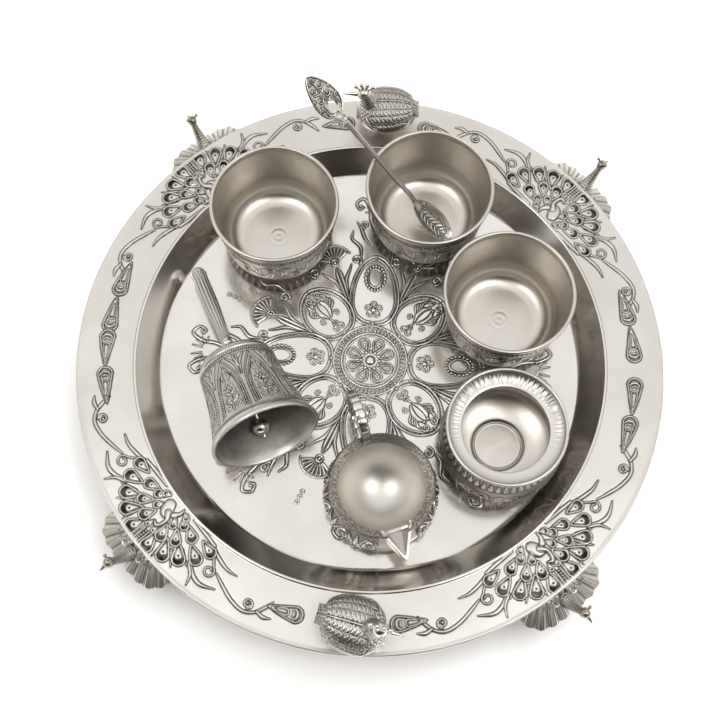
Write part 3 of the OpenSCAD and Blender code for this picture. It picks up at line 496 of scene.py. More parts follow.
def flower_and_oval(draw, a):
    for b in shares(5):
        draw([polar(3.4, b, 1.75)], a, 32.5, ring=(0.2, 0.35, 0.4, 0.1))
    draw([(0, 0, 1.3)], a, 32.5, height=0.6, groove=0.4, dark=0.8)
    oval = [(6.2 * math.cos(b), 4.2 * math.sin(b), 0.35) for b in np.linspace(0, 2 * math.pi, 33)]
    draw(oval, a, 53.5, height=0.4, groove=0.4, dark=0.75)
    for b in shares(20):
        draw([(8.0 * math.cos(b), 5.9 * math.sin(b), 0.75)], a, 53.5, height=0.6)


def bud_and_birds(draw, a):
    """A bud on a stem, and a pair of birds with raised wings."""
    for b in shares(3):
        draw([polar(2.1, b, 1.55)], a, 29.5, ring=(0.2, 0.33, 0.4, 0.1))
    draw([(2.5, 0, 0.3), (7, 0.8, 0.35)], a, 29.5, height=0.35, dark=0.8)
    body = spline([(-7, 1.2, 0.5), (-3, 3.0, 1.3), (1, 3.4, 1.5), (4.5, 1.8, 0.6)])
    for side in SIDES:
        draw(body, a, 44, side, height=0.6)
        for q in range(4):
            plume = [(-2 + 1.5 * q, 4.6, 0.35), (0.5 + 2.0 * q, 7.6 - 0.5 * q, 0.6),
                     (3.5 + 1.9 * q, 7.9 - 1.3 * q, 0.15)]
            draw(spline(plume, 5), a, 43, side)
        draw([(5.5, 1.4, 0.9)], a, 44, side, height=0.6, dark=0.8)
        draw(spiral(8.6, 3.2, 0.4, 2.3, 0, 1.3, 0.35, 0.4), a, 44, side, height=0.4)
        draw(spiral(-9, 5.0, 0.3, 1.6, 2, 1.2, 0.3, 0.35), a, 46, side, height=0.4)


def shell(draw, a):
    """A shell between two lobes, with acanthus and scrolls that run out beside it."""
    r = 67
    for f in arc(-62, 62, 9):
        draw([polar(3.2, f, 0.45), polar(9.6, f, 0.75)], a, r)
    draw([(0, 0, 2.2)], a, r, ring=(0.3, 0.4, 0.5, 0.1), groove=0.4)
    draw([(0, 0, 0.9)], a, r, height=0.6, dark=0.8)
    draw([polar(11.2, f, 0.35) for f in np.linspace(-1.25, 1.25, 18)], a, r, height=0.4, dark=0.8)
    blade = spline([(45, 1.5, 0.3), (54, 3.2, 0.9), (60, 7.5, 0.5), (63, 9.5, 0.12)])
    stem = spline([(42, 0.6, 0.3), (50, 1.0, 0.8), (58, 1.2, 0.9), (63, 0.4, 0.2)])
    curl = spiral(64.5, 13.6, 0.5, 3.2, 0.6, 1.35, 0.4, 0.55)
    wave = spline([(66, 17, 0.4), (72, 18.5, 0.9), (79, 15.5, 0.7), (84, 17.8, 0.2)])
    for side in SIDES:
        for pts, height in ((blade, 0.6), (stem, 0.6), (curl, 0.5), (wave, 0.6)):
            draw(pts, a, 0, side, height=height)


def outer_scrolls(draw, a):
    """A pair of scrolls outside a lobe, with fronds between them."""
    scroll = [(84, 1.2, 0.4), (92, 4.6, 0.8), (101, 6.0, 0.8), (107, 10.5, 0.6), (103.5, 14.6, 0.5),
              (99.5, 12.6, 0.4), (101.0, 10.2, 0.35)]
    blade = spline([(76, 4.5, 0.3), (80, 8.0, 0.8), (85.5, 10.4, 0.7), (90.5, 13.4, 0.15)])
    for side in SIDES:
        draw(spline(scroll), a, 0, side, height=0.55, groove=0.45)
        draw([(101.6, 11.8, 0.9)], a, 0, side, height=0.7, dark=0.8)
        for q in range(4):
            cf, sf = math.cos(0.35 + q * 0.42), math.sin(0.35 + q * 0.42)
            draw(drop(98 + 3.2 * cf, 5.2 * sf, 98 + 9.0 * cf, 8.6 * sf, 0.25), a, 0, side)
        draw(spiral(89, 8.2, 0.4, 2.6, 1.0, 1.3, 0.35, 0.5), a, 0, side)
        draw(blade, a, 0, side, height=0.55)


def medallion(c):
    """Rings, a rope, petals and a boss, over the lobes' roots."""
    c.stroke([(0, 0, 22.2)], height=0.0, groove=0.3, dark=0.0)
    for r, w, height in ((21.8, 0.5, 0.45), (17.2, 0.38, 0.35), (15.6, 0.34, 0.35)):
        n = int(r * 2.4)
        line = [polar(r, 2 * math.pi * k / n, w) for k in range(n + 1)]
        c.stroke(line, height=height, groove=0.3, dark=0.8)
    for a in shares(52):
        c.stroke([polar(18.5, a, 0.42), polar(20.1, a + 0.075, 0.42)], groove=0.3)
    for a in shares(8):
        petal = turned(drop(10.9, 0, 5.4, 0, 3.3), a + 0.39, 0)
        inner = turned(drop(10.6, 0, 8.0, 0, 1.5), a + 0.39, 0)
        c.stroke(petal, ring=(0.3, 0.42, 0.6, 0.1), groove=0.3, dark=1)
        c.stroke(inner, ring=(0.2, 0.35, 0.5, 0.1), groove=0.25, dark=1)
    for a in shares(12):
        c.stroke([polar(5.4, a, 0.85)])
    c.stroke([(0, 0, 2.4)], height=0.9, groove=0.6)


def floor_canvas():
    c = Canvas(-124, 124, -124, 124, 0.3, spread=2.0)

    def draw(pts, a, r, side=1, **look):
        c.stroke(turned(pts, a, r, side), **look)

    for k in range(8):
        a, between = math.radians(45 * k), math.radians(45 * k + 22.5)
        if k % 2 == 0:
            lobe(draw, a, 68.0)
            flower_and_oval(draw, a)
        else:
            lobe(draw, a, 58.0)
            bud_and_birds(draw, a)
        shell(draw, between)
        outer_scrolls(draw, a)
        for q in range(3):
            draw([(88.5 + 3.4 * q, 0, 1.05)], between, 0, ring=(0.2, 0.3, 0.35, 0.05), groove=0.3, dark=0.8)
    medallion(c)
    return c


def tray():
    slope = math.atan2(RIM_Z - FLOOR_Z, RIM_IN - FLOOR_R)
    # Profile (r, z, is ornamented rim), from the floor's middle over the rim and back underneath
    floor = np.concatenate([np.arange(1.0, 24, 0.34), np.arange(24, 116, 0.46), [117, 119, 121]])
    prof = [(r, FLOOR_Z, 0) for r in floor]
    bend = 4.0
    cx = FLOOR_R - bend * math.tan(slope / 2)
    prof += [(cx + bend * math.sin(a), FLOOR_Z + bend - bend * math.cos(a), 0)
             for a in np.linspace(0, slope, 8)]
    top_r = 1.4
    tx = RIM_IN + top_r * math.tan(slope / 2)
    prof += [(tx - top_r * math.sin(a), RIM_Z - top_r + top_r * math.cos(a), 0)
             for a in np.linspace(slope, 0.2, 5)]
    # A raised line, the rim and its rolled edge
    prof += [(RIM_IN + 0.2 - 0.95 * math.cos(a), RIM_Z + 0.02 + 0.55 * math.sin(a), 0)
             for a in np.linspace(0.25, math.pi - 0.1, 9)]
    prof += [(r, RIM_Z, 1) for r in np.arange(RIM_IN + 1.4, 169.1, 0.33)]
    prof += [(TRAY_R - 1.1 - 1.1 * math.cos(a), RIM_Z - 0.8 + 1.1 * math.sin(a), 0)
             for a in np.linspace(1.1, math.pi + 1.6, 14)]
    back, low = RIM_Z - SHEET, FLOOR_Z - SHEET
    prof += [(168, back, 0), (RIM_IN + 1, back, 0), (FLOOR_R - 0.4, low, 0), (60, low, 0), (2, low, 0)]
    m = 2400
    ang = np.linspace(0, 2 * math.pi, m, endpoint=False)
    r, z, kind = np.array(prof).T
    g = np.stack([r[:, None] * np.cos(ang), r[:, None] * np.sin(ang), z[:, None] + 0 * ang], -1)
    tarn = np.zeros(g.shape[:2])
    rows = np.where(kind == 1)[0]
    across = r[rows, None] + 0 * ang
    h, t = rim_canvas().sample(np.degrees(ang)[None, :] * PER_DEG + 0 * across, across)
    g[rows, :, 2] += h
    tarn[rows] = t
    flat = np.where((z == FLOOR_Z) & (r < 118) & (kind == 0))[0]
    h, t = floor_canvas().sample(g[flat, :, 0], g[flat, :, 1])
    g[flat, :, 2] += h * 0.8
    tarn[flat] = t
    o = grid_mesh("tray_embossed", g, tarn, SATIN, outward=False, pole0=(0, 0, FLOOR_Z + 0.9),
                  pole1=(0, 0, low))
    # The floor and the wall are brighter than the rim
    o.data.materials.append(MIRROR)
    count = len(o.data.polygons)
    index = np.zeros(count, np.int32)
    index[:rows[0] * m] = 1
    index[count - 2 * m:count - m] = 1
    o.data.polygons.foreach_set("material_index", index)
    place(o, "tray", "silver_satin", "tray_dish")


# Vessels


def frame_at(x, y, z, turn=0.0, tilt=0.0):
    """Place of a piece: millimetres, then a turn about +Z and a tilt about its own +Y, in degrees."""
    return (Matrix.Translation(Vector((x, y, z)) * MM) @ Matrix.Rotation(math.radians(turn), 4, "Z")
            @ Matrix.Rotation(math.radians(tilt), 4, "Y"))


def plain(*pairs):
    """Rows (r, z) of a lathe that carry no skin."""
    return [(r, z, "") for r, z in pairs]


def arc_rows(cx, cz, r, a0, a1, n, key=""):
    return [(cx + r * math.cos(a), cz + r * math.sin(a), key) for a in arc(a0, a1, n)]


def line_rows(r0, z0, r1, z1, step, key=""):
    n = max(2, int(math.hypot(r1 - r0, z1 - z0) / step))
    return [(r0 + (r1 - r0) * k / n, z0 + (z1 - z0) * k / n, key) for k in range(n)]


def along_profile(r, z):
    """Length run along a profile, and the r and z parts of its outward normal."""
    dr, dz = np.gradient(r), np.gradient(z)
    size = np.maximum(np.hypot(dr, dz), 1e-9)
    return np.concatenate([[0], np.cumsum(np.hypot(np.diff(r), np.diff(z)))]), dz / size, -dr / size


def spun(r, z, lift, nr, nz, ang):
    """Grid of a profile turned about +Z and lifted along its normal."""
    rr = r[:, None] + lift * nr[:, None]
    return np.stack([rr * np.cos(ang), rr * np.sin(ang), z[:, None] + lift * nz[:, None]], -1)


def lathe(name, rows, material, m, matrix, skins=(), shape=None, hollow=False, hollow_shade=0.0):
    """Rows (r, z, key) turned about +Z; a skin (key, canvas) lifts the rows of its key along their normal.
    A hollow piece is a ring with no ends; the rows whose key is in are darkened by a set amount, as painted
    shade inside the hollow."""
    if hollow:
        rows = rows + rows[:1]
    r = np.array([p[0] for p in rows])
    z = np.array([p[1] for p in rows])
    keys = np.array([p[2] for p in rows])
    path, nr, nz = along_profile(r, z)
    ang = np.linspace(0, 2 * math.pi, m, endpoint=False)
    lift, tarn = np.zeros((len(rows), m)), np.zeros((len(rows), m))
    # Painted shade: the inner rows are darkened to stand for the shade inside the hollow
    tarn[keys == "in"] = hollow_shade
    for key, canvas in skins:
        idx = np.where(keys == key)[0]
        y = (path[idx] - path[idx[0]])[:, None]
        x = (ang / (2 * math.pi) * canvas.x1)[None, :]
        lift[idx], tarn[idx] = canvas.sample(x + 0 * y, y + 0 * x)
    if shape:
        lift = lift + shape(r[:, None], z[:, None], ang[None, :], keys[:, None])
    ends = (None, None) if hollow else ((0, 0, z[0]), (0, 0, z[-1]))
    o = grid_mesh(name, spun(r, z, lift, nr, nz, ang), tarn, material, pole0=ends[0], pole1=ends[1])
    o.matrix_world = matrix
    return o


def border(c, y, size, count, kind="bead"):
    """A ring of beads, petals or rope round a vessel."""
    step = c.x1 / count
    for k in range(count):
        x = (k + 0.5) * step
        if kind == "bead":
            c.stroke([(x, y, size)], height=size * 0.8, groove=0.3)
        elif kind == "petal":
            c.stroke(drop(x, y - size * 0.4, x, y + size * 0.9, size * 0.5), height=0.45)
        else:
            rope = [(x - size * 0.5, y - size * 0.6, 0.35), (x + size * 0.5, y + size * 0.6, 0.35)]
            c.stroke(rope, height=0.45, groove=0.3)


def ring_line(c, y, w, height=0.4):
    c.stroke([(c.x0 - 1, y, w), (c.x1 + 1, y, w)], height=height, dark=0.8)


def vine(c, y, half, count):
    """A running scroll: a wave with a curl, a flower and leaves in each bend."""
    look = {"height": 0.4, "dark": 0.8}
    step = c.x1 / count
    for k in range(count):
        x, s = k * step, 1 if k % 2 == 0 else -1

        def at(u, v, w):
            return (x + step * u, y + s * half * v, w)

        def line(*pts):
            c.curve([at(*p) for p in pts], 6, **look)

        line((0, -0.75, 0.35), (0.28, -0.55, 0.5), (0.72, 0.35, 0.5), (1.0, 0.75, 0.35))
        r = min(half, step) * 0.42
        c.stroke(spiral(*at(0.45, 0.42, 0)[:2], 0.5, r, 0.6, s * 1.4, 0.35, 0.5), **look)
        c.stroke([at(0.45, 0.42, 0.75)], height=0.52, dark=0.8)
        line((0.15, -0.55, 0.2), (0.05, 0.05, 0.7), (0.12, 0.55, 0.1))
        line((0.8, 0.45, 0.2), (0.95, -0.1, 0.7), (0.86, -0.6, 0.1))
        line((0.62, 0.05, 0.2), (0.55, -0.5, 0.65), (0.42, -0.85, 0.1))


def middle(name):
    """Axis of a round node that stands upright, in millimetres."""
    lo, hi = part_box(name)
    return (lo[0] + hi[0]) / 2 / MM, (lo[1] + hi[1]) / 2 / MM


BOWL = Sizes(base=19.35, corner=14.0, low=33.35, top=36.55, lip=1.15, height=46.0, sheet=1.0)


def bowl_skin():
    c = Canvas(0, 2 * math.pi * 36, 0, 54, 0.3, wrap=True, ground=0.38)
    border(c, 14.5, 3.2, 42, "petal")
    ring_line(c, 17.2, 0.35)
    vine(c, 29.5, 10.0, 14)
    ring_line(c, 42.0, 0.35)
    border(c, 44.6, 1.0, 84)
    ring_line(c, 47.0, 0.3)
    return c


def bowl(name, skin):
    b, s = BOWL, BOWL.sheet
    rows = line_rows(0.8, 0, b.base, 0, 3)
    rows += arc_rows(b.base, b.corner, b.corner, -90, 0, 34, "out")
    rows += line_rows(b.low, b.corner + 0.5, b.top, b.height - 2.2, 0.5, "out")
    rows += arc_rows(b.top, b.height - b.lip, b.lip, -70, 235, 22)
    rows += line_rows(b.top - s, b.height - 2.6, b.low - s, b.corner, 2.0, "in")
    rows += arc_rows(b.base, b.corner, b.corner - s, 0, -90, 22)
    # Stamped rings at the middle of the floor
    rows += [(r, s + 0.09 * math.cos(math.pi * r / 1.9) * (r < 6.6), "")
             for r in np.arange(b.base - 0.4, 0.5, -0.3)]
    where = frame_at(*middle(name), FLOOR_Z)
    # The bowl's inside is darkened as painted shade
    o = lathe(name + "_engraved", rows, BRUSHED, 720, where, [("out", skin)], hollow_shade=0.2)
    place(o, name + "_body", "silver_satin", name)


POT = Sizes(foot=18.0, foot_h=2.0, belly=35.0, belly_at=16.06, belly_top=36.5, neck=24.5, sheet=1.1,
            mouth=33.5, height=45.0, drop=5.5, lip=1.0)


def pot_skin():
    c = Canvas(0, 2 * math.pi * 33, 0, 56, 0.3, wrap=True, ground=0.38)
    border(c, 5.0, 3.4, 34, "petal")
    ring_line(c, 8.2, 0.35)
    vine(c, 21.5, 10.5, 12)
    ring_line(c, 34.4, 0.35)
    border(c, 37.6, 3.2, 48, "petal")
    return c


def pot_belly(where):
    p = POT
    low = math.acos((p.foot - p.sheet) / p.belly)
    high = math.acos((p.neck + p.sheet) / p.belly)

    def belly(inset, n, key):
        down = (p.belly_at - p.foot_h - inset) / math.sin(low)
        up = (p.belly_top - p.belly_at) / math.sin(high)
        return [((p.belly - inset) * math.cos(a), p.belly_at + (down if a < 0 else up) * math.sin(a), key)
                for a in np.linspace(-low, high, n)]

    rows = line_rows(0.8, p.foot_h, p.foot - 3.3, p.foot_h, 2)
    rows += plain((p.foot - 3.2, 0.05), (p.foot - 1.5, 0), (p.foot, 0.05), (p.foot, 1.1),
                  (p.foot - 1.1, p.foot_h))
    rows += belly(0, 110, "out") + list(reversed(belly(p.sheet, 30, "")))
    # A ring stamped into the floor
    floor = rows[-1][1]
    ring = p.foot - 4.0
    rows += line_rows(rows[-1][0] - 0.4, floor, ring + 1.2, floor, 0.6)
    rows += arc_rows(ring, floor + 0.1, 0.7, 0, 180, 9) + line_rows(ring - 1.0, floor, 0.6, floor, 1.0)
    o = lathe("pot_belly_engraved", rows, BRUSHED, 720, where, [("out", pot_skin())])
    place(o, "pot", "silver_satin", "pot_belly")


def pot_mouth(where):
    """Flared mouth with fine, uneven radial flutes."""
    p = POT
    neck_at = p.height - p.drop
    run = p.mouth - p.lip - p.neck
    out_r = p.neck + p.sheet
    rows = plain((p.neck, p.belly_top), (out_r + 0.3, p.belly_top + 0.02))
    rows += arc_rows(out_r, p.belly_top + 1.0, 0.6, -70, 70, 7)
    rows += arc_rows(out_r, neck_at - 1.1, 0.6, -70, 70, 7)
    rows += [(out_r + (run - p.sheet) * math.sin(a), neck_at - 1.1 + p.drop * (1 - math.cos(a)), "")
             for a in arc(6, 88, 30)]
    rows += arc_rows(p.mouth - p.lip, p.height - p.lip, p.lip, -60, 170, 14)
    rows += [(p.neck + run * math.sin(a), neck_at + (p.drop - p.lip) * (1 - math.cos(a)), "flute")
             for a in arc(86, 6, 40)]
    # Two lines turned into the throat
    rows += arc_rows(p.neck + 0.1, neck_at - 0.7, 0.45, 80, 280, 8)
    rows += arc_rows(p.neck + 0.1, neck_at - 1.9, 0.35, 80, 280, 7)
    phase = RNG.uniform(0, 2 * math.pi, 5)

    def flutes(r, z, a, key):
        wave = np.sin(72 * a + 1.6 * np.sin(5 * a + phase[0]) + 1.1 * np.sin(11 * a + phase[1]))
        wave = wave + 0.55 * np.sin(113 * a + 2 * np.sin(7 * a + phase[2]))
        ease = np.clip((r - p.neck - 0.6) / 2.2, 0, 1) * np.clip((p.mouth - 1.6 - r) / 1.2, 0, 1)
        far = np.clip(0.5 + 0.7 * np.sin(a), 0.12, 1)
        return 0.12 * far * wave * ease * (key == "flute")

    o = lathe("pot_mouth_fluted", rows, SATIN, 1080, where, shape=flutes, hollow=True)
    place(o, "pot", "silver_satin", "pot_mouth")


# Bell

BELL = Sizes(mouth=31.0, lip_z=1.47, waist_z=4.4, shoulder=22.1, shoulder_z=48.9, crown=7.5, wall=1.4,
             collar=6.0, neck=3.2, grip=4.6, handle=66.0, x=-54.42, y=-59.24, rise=31.04,
             turn=-63.27, droop=10.627)
BELL_FRAME = frame_at(BELL.x, BELL.y, FLOOR_Z + BELL.rise, BELL.turn, -(90 + BELL.droop))


def bell_panel(c, x, step):
    """An arched panel with a beaded frame, and a flower on a stem with curls and leaves in it."""
    def line(*pts, height=0.45):
        for s in SIDES:
            c.curve([(x + s * step * u, v, w) for u, v, w in pts], 6, height=height, dark=0.9)

    line((0.42, 7.5, 0.35), (0.42, 22, 0.35), (0.34, 32, 0.35), (0.16, 39, 0.35), (0, 43.5, 0.35))
    line((0.31, 8.5, 0.3), (0.31, 21, 0.3), (0.25, 29.5, 0.3), (0.12, 35.5, 0.3), (0, 39.5, 0.3))
    for s in SIDES:
        for q in range(15):
            v = 8.5 + q * 1.75
            u = 0.365 if v < 21 else 0.365 - 0.0085 * (v - 21) - 0.0004 * (v - 21) ** 2
            c.stroke([(x + s * step * u, v, 0.5)], groove=0.3, dark=0.9)
    c.stroke([(x, 9, 0.4), (x, 22, 0.45)], height=0.4)
    for a in shares(6):
        ca, sa = math.cos(a), math.sin(a)
        c.stroke(drop(x + ca, 25 + sa, x + 3.4 * ca, 25 + 3.4 * sa, 0.75), height=0.55, groove=0.3, dark=0.9)
    c.stroke([(x, 25, 0.8)], height=0.7)
    for v, w in ((12, 3.0), (18, 2.4)):
        for s in SIDES:
            c.stroke(spiral(x + s * w, v, 0.4, 1.8, 0, s * 1.3, 0.3, 0.45), height=0.4)
            c.stroke(drop(x + s * 1.0, v + 2.4, x + s * (w + 1.6), v + 4.4, 0.7), height=0.45)
    line((0.06, 30, 0.3), (0.12, 32, 0.6), (0.05, 35, 0.2))
    line((0.47, 30, 0.25), (0.40, 38, 0.8), (0.2, 43, 0.2), height=0.5)
    line((0.5, 36, 0.9), (0.45, 42, 0.5), height=0.5)


def bell_skin():
    """Panels between a lip band and a shoulder band."""
    c = Canvas(0, 2 * math.pi * 26, 0, 60, 0.26, wrap=True, ground=0.12)
    ring_line(c, 3.4, 0.5, 0.5)
    ring_line(c, 5.2, 0.3, 0.35)
    step = c.x1 / 8
    for k in range(8):
        bell_panel(c, (k + 0.5) * step, step)
    border(c, 46.2, 1.3, 110, "rope")
    ring_line(c, 44.2, 0.35)
    ring_line(c, 48.2, 0.35)
    return c


def bell_out(z):
    """Outer radius of the bell's flank at height z."""
    t = (z - BELL.waist_z) / (BELL.shoulder_z - BELL.waist_z)
    return BELL.shoulder + (BELL.mouth - BELL.shoulder) * ((1 - t) ** 2.4 * 0.80 + (1 - t) * t * 0.27)


def bell_body():
    b = BELL
    top, inside = b.shoulder_z + b.crown, b.mouth - b.wall

    def dome(inset, angles, key=""):
        """The crown's curve, which ends 4 mm from the axis."""
        return [((b.shoulder - inset) * math.cos(a) + 4 * (1 - math.cos(a)),
                 b.shoulder_z + (b.crown - inset) * math.sin(a), key) for a in angles]

    rows = plain((0.6, top - b.wall)) + dome(b.wall, arc(88, 4, 14))
    rows += [(bell_out(z) - b.wall, z, "in") for z in np.linspace(b.shoulder_z, b.waist_z, 26)]
    rows += plain((inside, b.lip_z), (inside, 0.15), (inside + 0.2, 0), (b.mouth - 0.2, 0), (b.mouth, 0.15))
    rows += [(b.mouth, b.lip_z, "out")]
    rows += [(bell_out(z), z, "out") for z in np.linspace(b.waist_z, b.shoulder_z - 1.1, 130)]
    rows += arc_rows(b.shoulder - 1.0, b.shoulder_z, 1.0, -60, 90, 9)
    rows += dome(0, arc(14, 88, 26), "crown") + plain((0.6, top))
    crown = Canvas(0, 2 * math.pi * 12, 0, 24, 0.26, wrap=True)
    border(crown, 6.0, 5.0, 22, "petal")
    border(crown, 11.6, 3.2, 22, "petal")
    skins = [("out", bell_skin()), ("crown", crown)]
    # The bell's inside is darkened as painted shade
    o = lathe("bell_engraved", rows, SATIN, 900, BELL_FRAME, skins, hollow_shade=0.42)
    place(o, "bell", "silver_satin", "bell_body")


def bell_grip():
    """The handle: a collar, a thin neck and a swelling grip with ridges along it."""
    b, h = BELL, BELL.handle
    neck, swell = 0.14 * h, 0.62 * h
    collar_r = 2.8
    start = b.wall + collar_r
    rows = plain((0.3, 0), (b.collar, 0)) + arc_rows(b.collar, start, collar_r, 270, 180, 12)
    rows += [(b.neck + 0.25 * math.sin(math.pi * k / 4) ** 2, start + (neck - start) * k / 12, "")
             for k in range(13)]
    rows += [(b.neck + (b.grip - b.neck) * (1 - math.cos(math.pi * t)) / 2,
              neck + (swell - neck) * t, "grip")
             for t in np.linspace(0.03, 1, 40)]
    rows += [(b.grip, z, "grip") for z in np.linspace(swell + 0.8, h - b.grip, 12)]
    rows += arc_rows(0, h - b.grip, b.grip, 3, 88, 14)

    def rings(r, z, a, key):
        ease = np.clip((z - neck) / 3, 0, 1) * np.clip((h - b.grip - z) / 3, 0, 1)
        bands = 0.3 * np.exp(-((z - neck - 2.0) / 0.7) ** 2) + 0.3 * np.exp(-((z - neck + 0.8) / 0.6) ** 2)
        return -0.3 * ease + bands * (z > 5)

    grip = Canvas(0, 2 * math.pi * b.grip, 0, 60, 0.14, wrap=True)
    for k in range(13):
        x = k * grip.x1 / 13
        ridge = [(x, 1, 0.2), (x, 8, 0.62), (x, 42, 0.7), (x, 52, 0.3)]
        grip.stroke(ridge, height=0.3, groove=0.22, dark=0.9)
    where = BELL_FRAME @ frame_at(0, 0, b.shoulder_z + b.crown)
    o = lathe("bell_grip_ridged", rows, ANTIQUE, 312, where, [("grip", grip)], rings)
    place(o, "bell", "silver_antique", "bell_handle")


def sweep(name, path, width, thick, side, material, matrix, relief=None, n=24, power=2.0):
    """A bar along path (x, y, z): width and thick are functions of the length run, side points sideways.
    relief(s, a) gives height along the normal and tarnish, with a the angle round the section."""
    p = np.array(path, float)
    step = np.linalg.norm(np.diff(p, axis=0), axis=1)
    s = np.concatenate([[0], np.cumsum(step)])
    tan = np.gradient(p, axis=0)
    tan /= np.linalg.norm(tan, axis=1)[:, None]
    side = np.array(side, float)[None, :] + 0 * p
    side -= tan * (side * tan).sum(1)[:, None]
    side /= np.linalg.norm(side, axis=1)[:, None]
    nrm = np.cross(tan, side)
    a = np.linspace(0, 2 * math.pi, n, endpoint=False)[None, :]
    w = np.array([width(q) for q in s])[:, None] / 2
    t = np.array([thick(q) for q in s])[:, None] / 2
    ca, sa = np.cos(a), np.sin(a)
    cx = np.sign(ca) * np.abs(ca) ** (2 / power)
    cy = np.sign(sa) * np.abs(sa) ** (2 / power)
    h, tarn = (0, 0 * (w + ca)) if relief is None else relief(s[:, None], a)
    u, v = (w + h) * cx, (t + h) * cy
    g = p[:, None, :] + side[:, None, :] * u[..., None] + nrm[:, None, :] * v[..., None]
    o = grid_mesh(name, g, tarn + 0 * u, material, pole0=tuple(p[0]), pole1=tuple(p[-1]))
    o.matrix_world = matrix
    return o


def merge(name, objs):
    """One object of several, in world coordinates."""
    with bpy.context.temp_override(active_object=objs[0], object=objs[0], selected_editable_objects=objs,
                                   selected_objects=objs):
        bpy.ops.object.join()
    objs[0].name = name
    return objs[0]


# Lamp

LAMP = Sizes(x=10.683, y=-81.482, in_r=24.4, band_r=29.3, band_t=1.6, height=30.0, drop=3.2, foot=19.0,
             bulge=32.0, bulge_at=10.0, neck=26.65, neck_at=22.0, cup_at=26.05, turn=-68.3,
             spout_half_turn=21.0, loop=14.5, bar=2.2, ridge=4.4)


def acanthus(c, x, y0, y1, w, flip=1):
    """A curled leaf with a vein and lobes, its root at y0."""
    h = y1 - y0
    vein = [(x, y0, 0.9), (x + flip * w * 0.10, y0 + h * 0.5, 1.3), (x, y1 - w * 0.1, 0.7)]
    c.curve(vein, 8, height=0.9, dark=0.95)
    for s in SIDES:
        for k in range(5):
            u = 0.08 + 0.18 * k
            r = w * (0.52 - 0.07 * k) * (1 if s == flip else 0.85)
            c.curve([(x + s * 0.8, y0 + h * u, 0.4), (x + s * r * 0.75, y0 + h * (u + 0.06), 1.15),
                     (x + s * r, y0 + h * (u + 0.20), 0.5), (x + s * r * 0.8, y0 + h * (u + 0.27), 0.15)], 6,
                    height=0.85, groove=0.45, dark=0.95)


def lamp_skin():
    """A ring of acanthus leaves with curls and buds between their tips, and beads above."""
    c = Canvas(0, 2 * math.pi * 30, 0, 40, 0.28, wrap=True, ground=0.45)
    step = c.x1 / 12
    for k in range(12):
        x = (k + 0.5) * step
        acanthus(c, x, 1.0, 17.5, 11.5, 1 if k % 2 else -1)
        curl = spiral(x - step / 2, 20.5, 0.5, 3.4, 0.5, 1.5, 0.45, 0.8)
        c.stroke(curl, height=0.8, groove=0.45, dark=0.95)
        c.stroke([(x - step / 2, 20.5, 1.0)], height=1.0, dark=0.9)
        c.stroke(drop(x, 19.5, x, 26.0, 1.6), height=0.9, groove=0.45, dark=0.95)
        for s in SIDES:
            sepal = [(x + s * 1.5, 19.0, 0.4), (x + s * 4.2, 22.5, 1.0), (x + s * 6.0, 25.6, 0.2)]
            c.curve(sepal, 6, height=0.8, dark=0.95)
    border(c, 29.0, 1.1, 62)
    return c


def lamp_relief(where):
    """The cast ornament round the cup, open where the spout leaves it."""
    p = LAMP
    band_z = p.height - p.band_t
    skin = [(p.foot + (p.bulge - p.foot) * math.sin(a), p.bulge_at * (1 - math.cos(a)))
            for a in arc(2, 90, 44)]
    skin += [(p.neck + (p.bulge - p.neck) * (1 + math.cos(math.pi * u)) / 2,
              p.bulge_at + (p.neck_at - p.bulge_at) * u)
             for u in np.linspace(0.02, 1, 40)]
    skin += [(p.neck + (p.band_r - p.neck) * u, p.neck_at + (band_z - p.neck_at) * u)
             for u in np.linspace(0.04, 1, 16)]
    r, z = np.array(skin).T
    path, nr, nz = along_profile(r, z)
    path = path[:, None]
    ang = arc(p.spout_half_turn, 360 - p.spout_half_turn, 900)[None, :]
    c = lamp_skin()
    h, t = c.sample(ang / (2 * math.pi) * c.x1 + 0 * path, path + 0 * ang)
    o = grid_mesh("lamp_relief", spun(r, z, h + 0.12, nr, nz, ang), t, ANTIQUE, wrap=False)
    o.matrix_world = where
    place(o, "lamp", "silver_antique")


def lamp_handle(where):
    """A flat strip bent into a loop, with ridges across it."""
    p = LAMP
    lx, lz = p.in_r + p.loop + p.bar, p.height - p.loop * 0.3
    line = [(p.in_r + 1.6, 0, p.height - 1.2), (p.in_r + 2.6, 0, p.height + 0.6)]
    line += [(lx + p.loop * math.cos(a), 0, lz + p.loop * math.sin(a)) for a in arc(145, -110, 150)]
    line += [(p.neck, 0, 14.2)]
    line = [(-x, y, z) for x, y, z in line]

    def ridges(s, a):
        wave = np.cos(2 * math.pi * s / p.ridge) + 0 * a
        return 0.13 * wave, np.clip(-wave, 0, 1) ** 5 * 0.85

    o = sweep("lamp_handle_ridged", line, lambda s: 5.6, lambda s: 3.6, (0, 1, 0), ANTIQUE, where, ridges,
              n=28, power=3.6)
    place(o, "lamp", "silver_antique", "lamp_handle")


# Spoon

SPOON = Sizes(turn=151.0, bowl_pitch=36.0, stem_pitch=42.5, leaf_pitch=40.0, bowl=34.0, width=15.6,
              depth=4.6, stem=68.0, rod=3.0, eye=2.7, hole=1.35, leaf=29.0, leaf_w=18.8, tip_rise=2.3)


def two_faces(a, b, n):
    """Columns that run from a to b on the upper face and back on the lower one, and which are lower."""
    across = np.concatenate([np.linspace(a, b, n), np.linspace(b, a, n)])[None, :]
    return across, np.concatenate([np.zeros(n), np.ones(n)])[None, :]


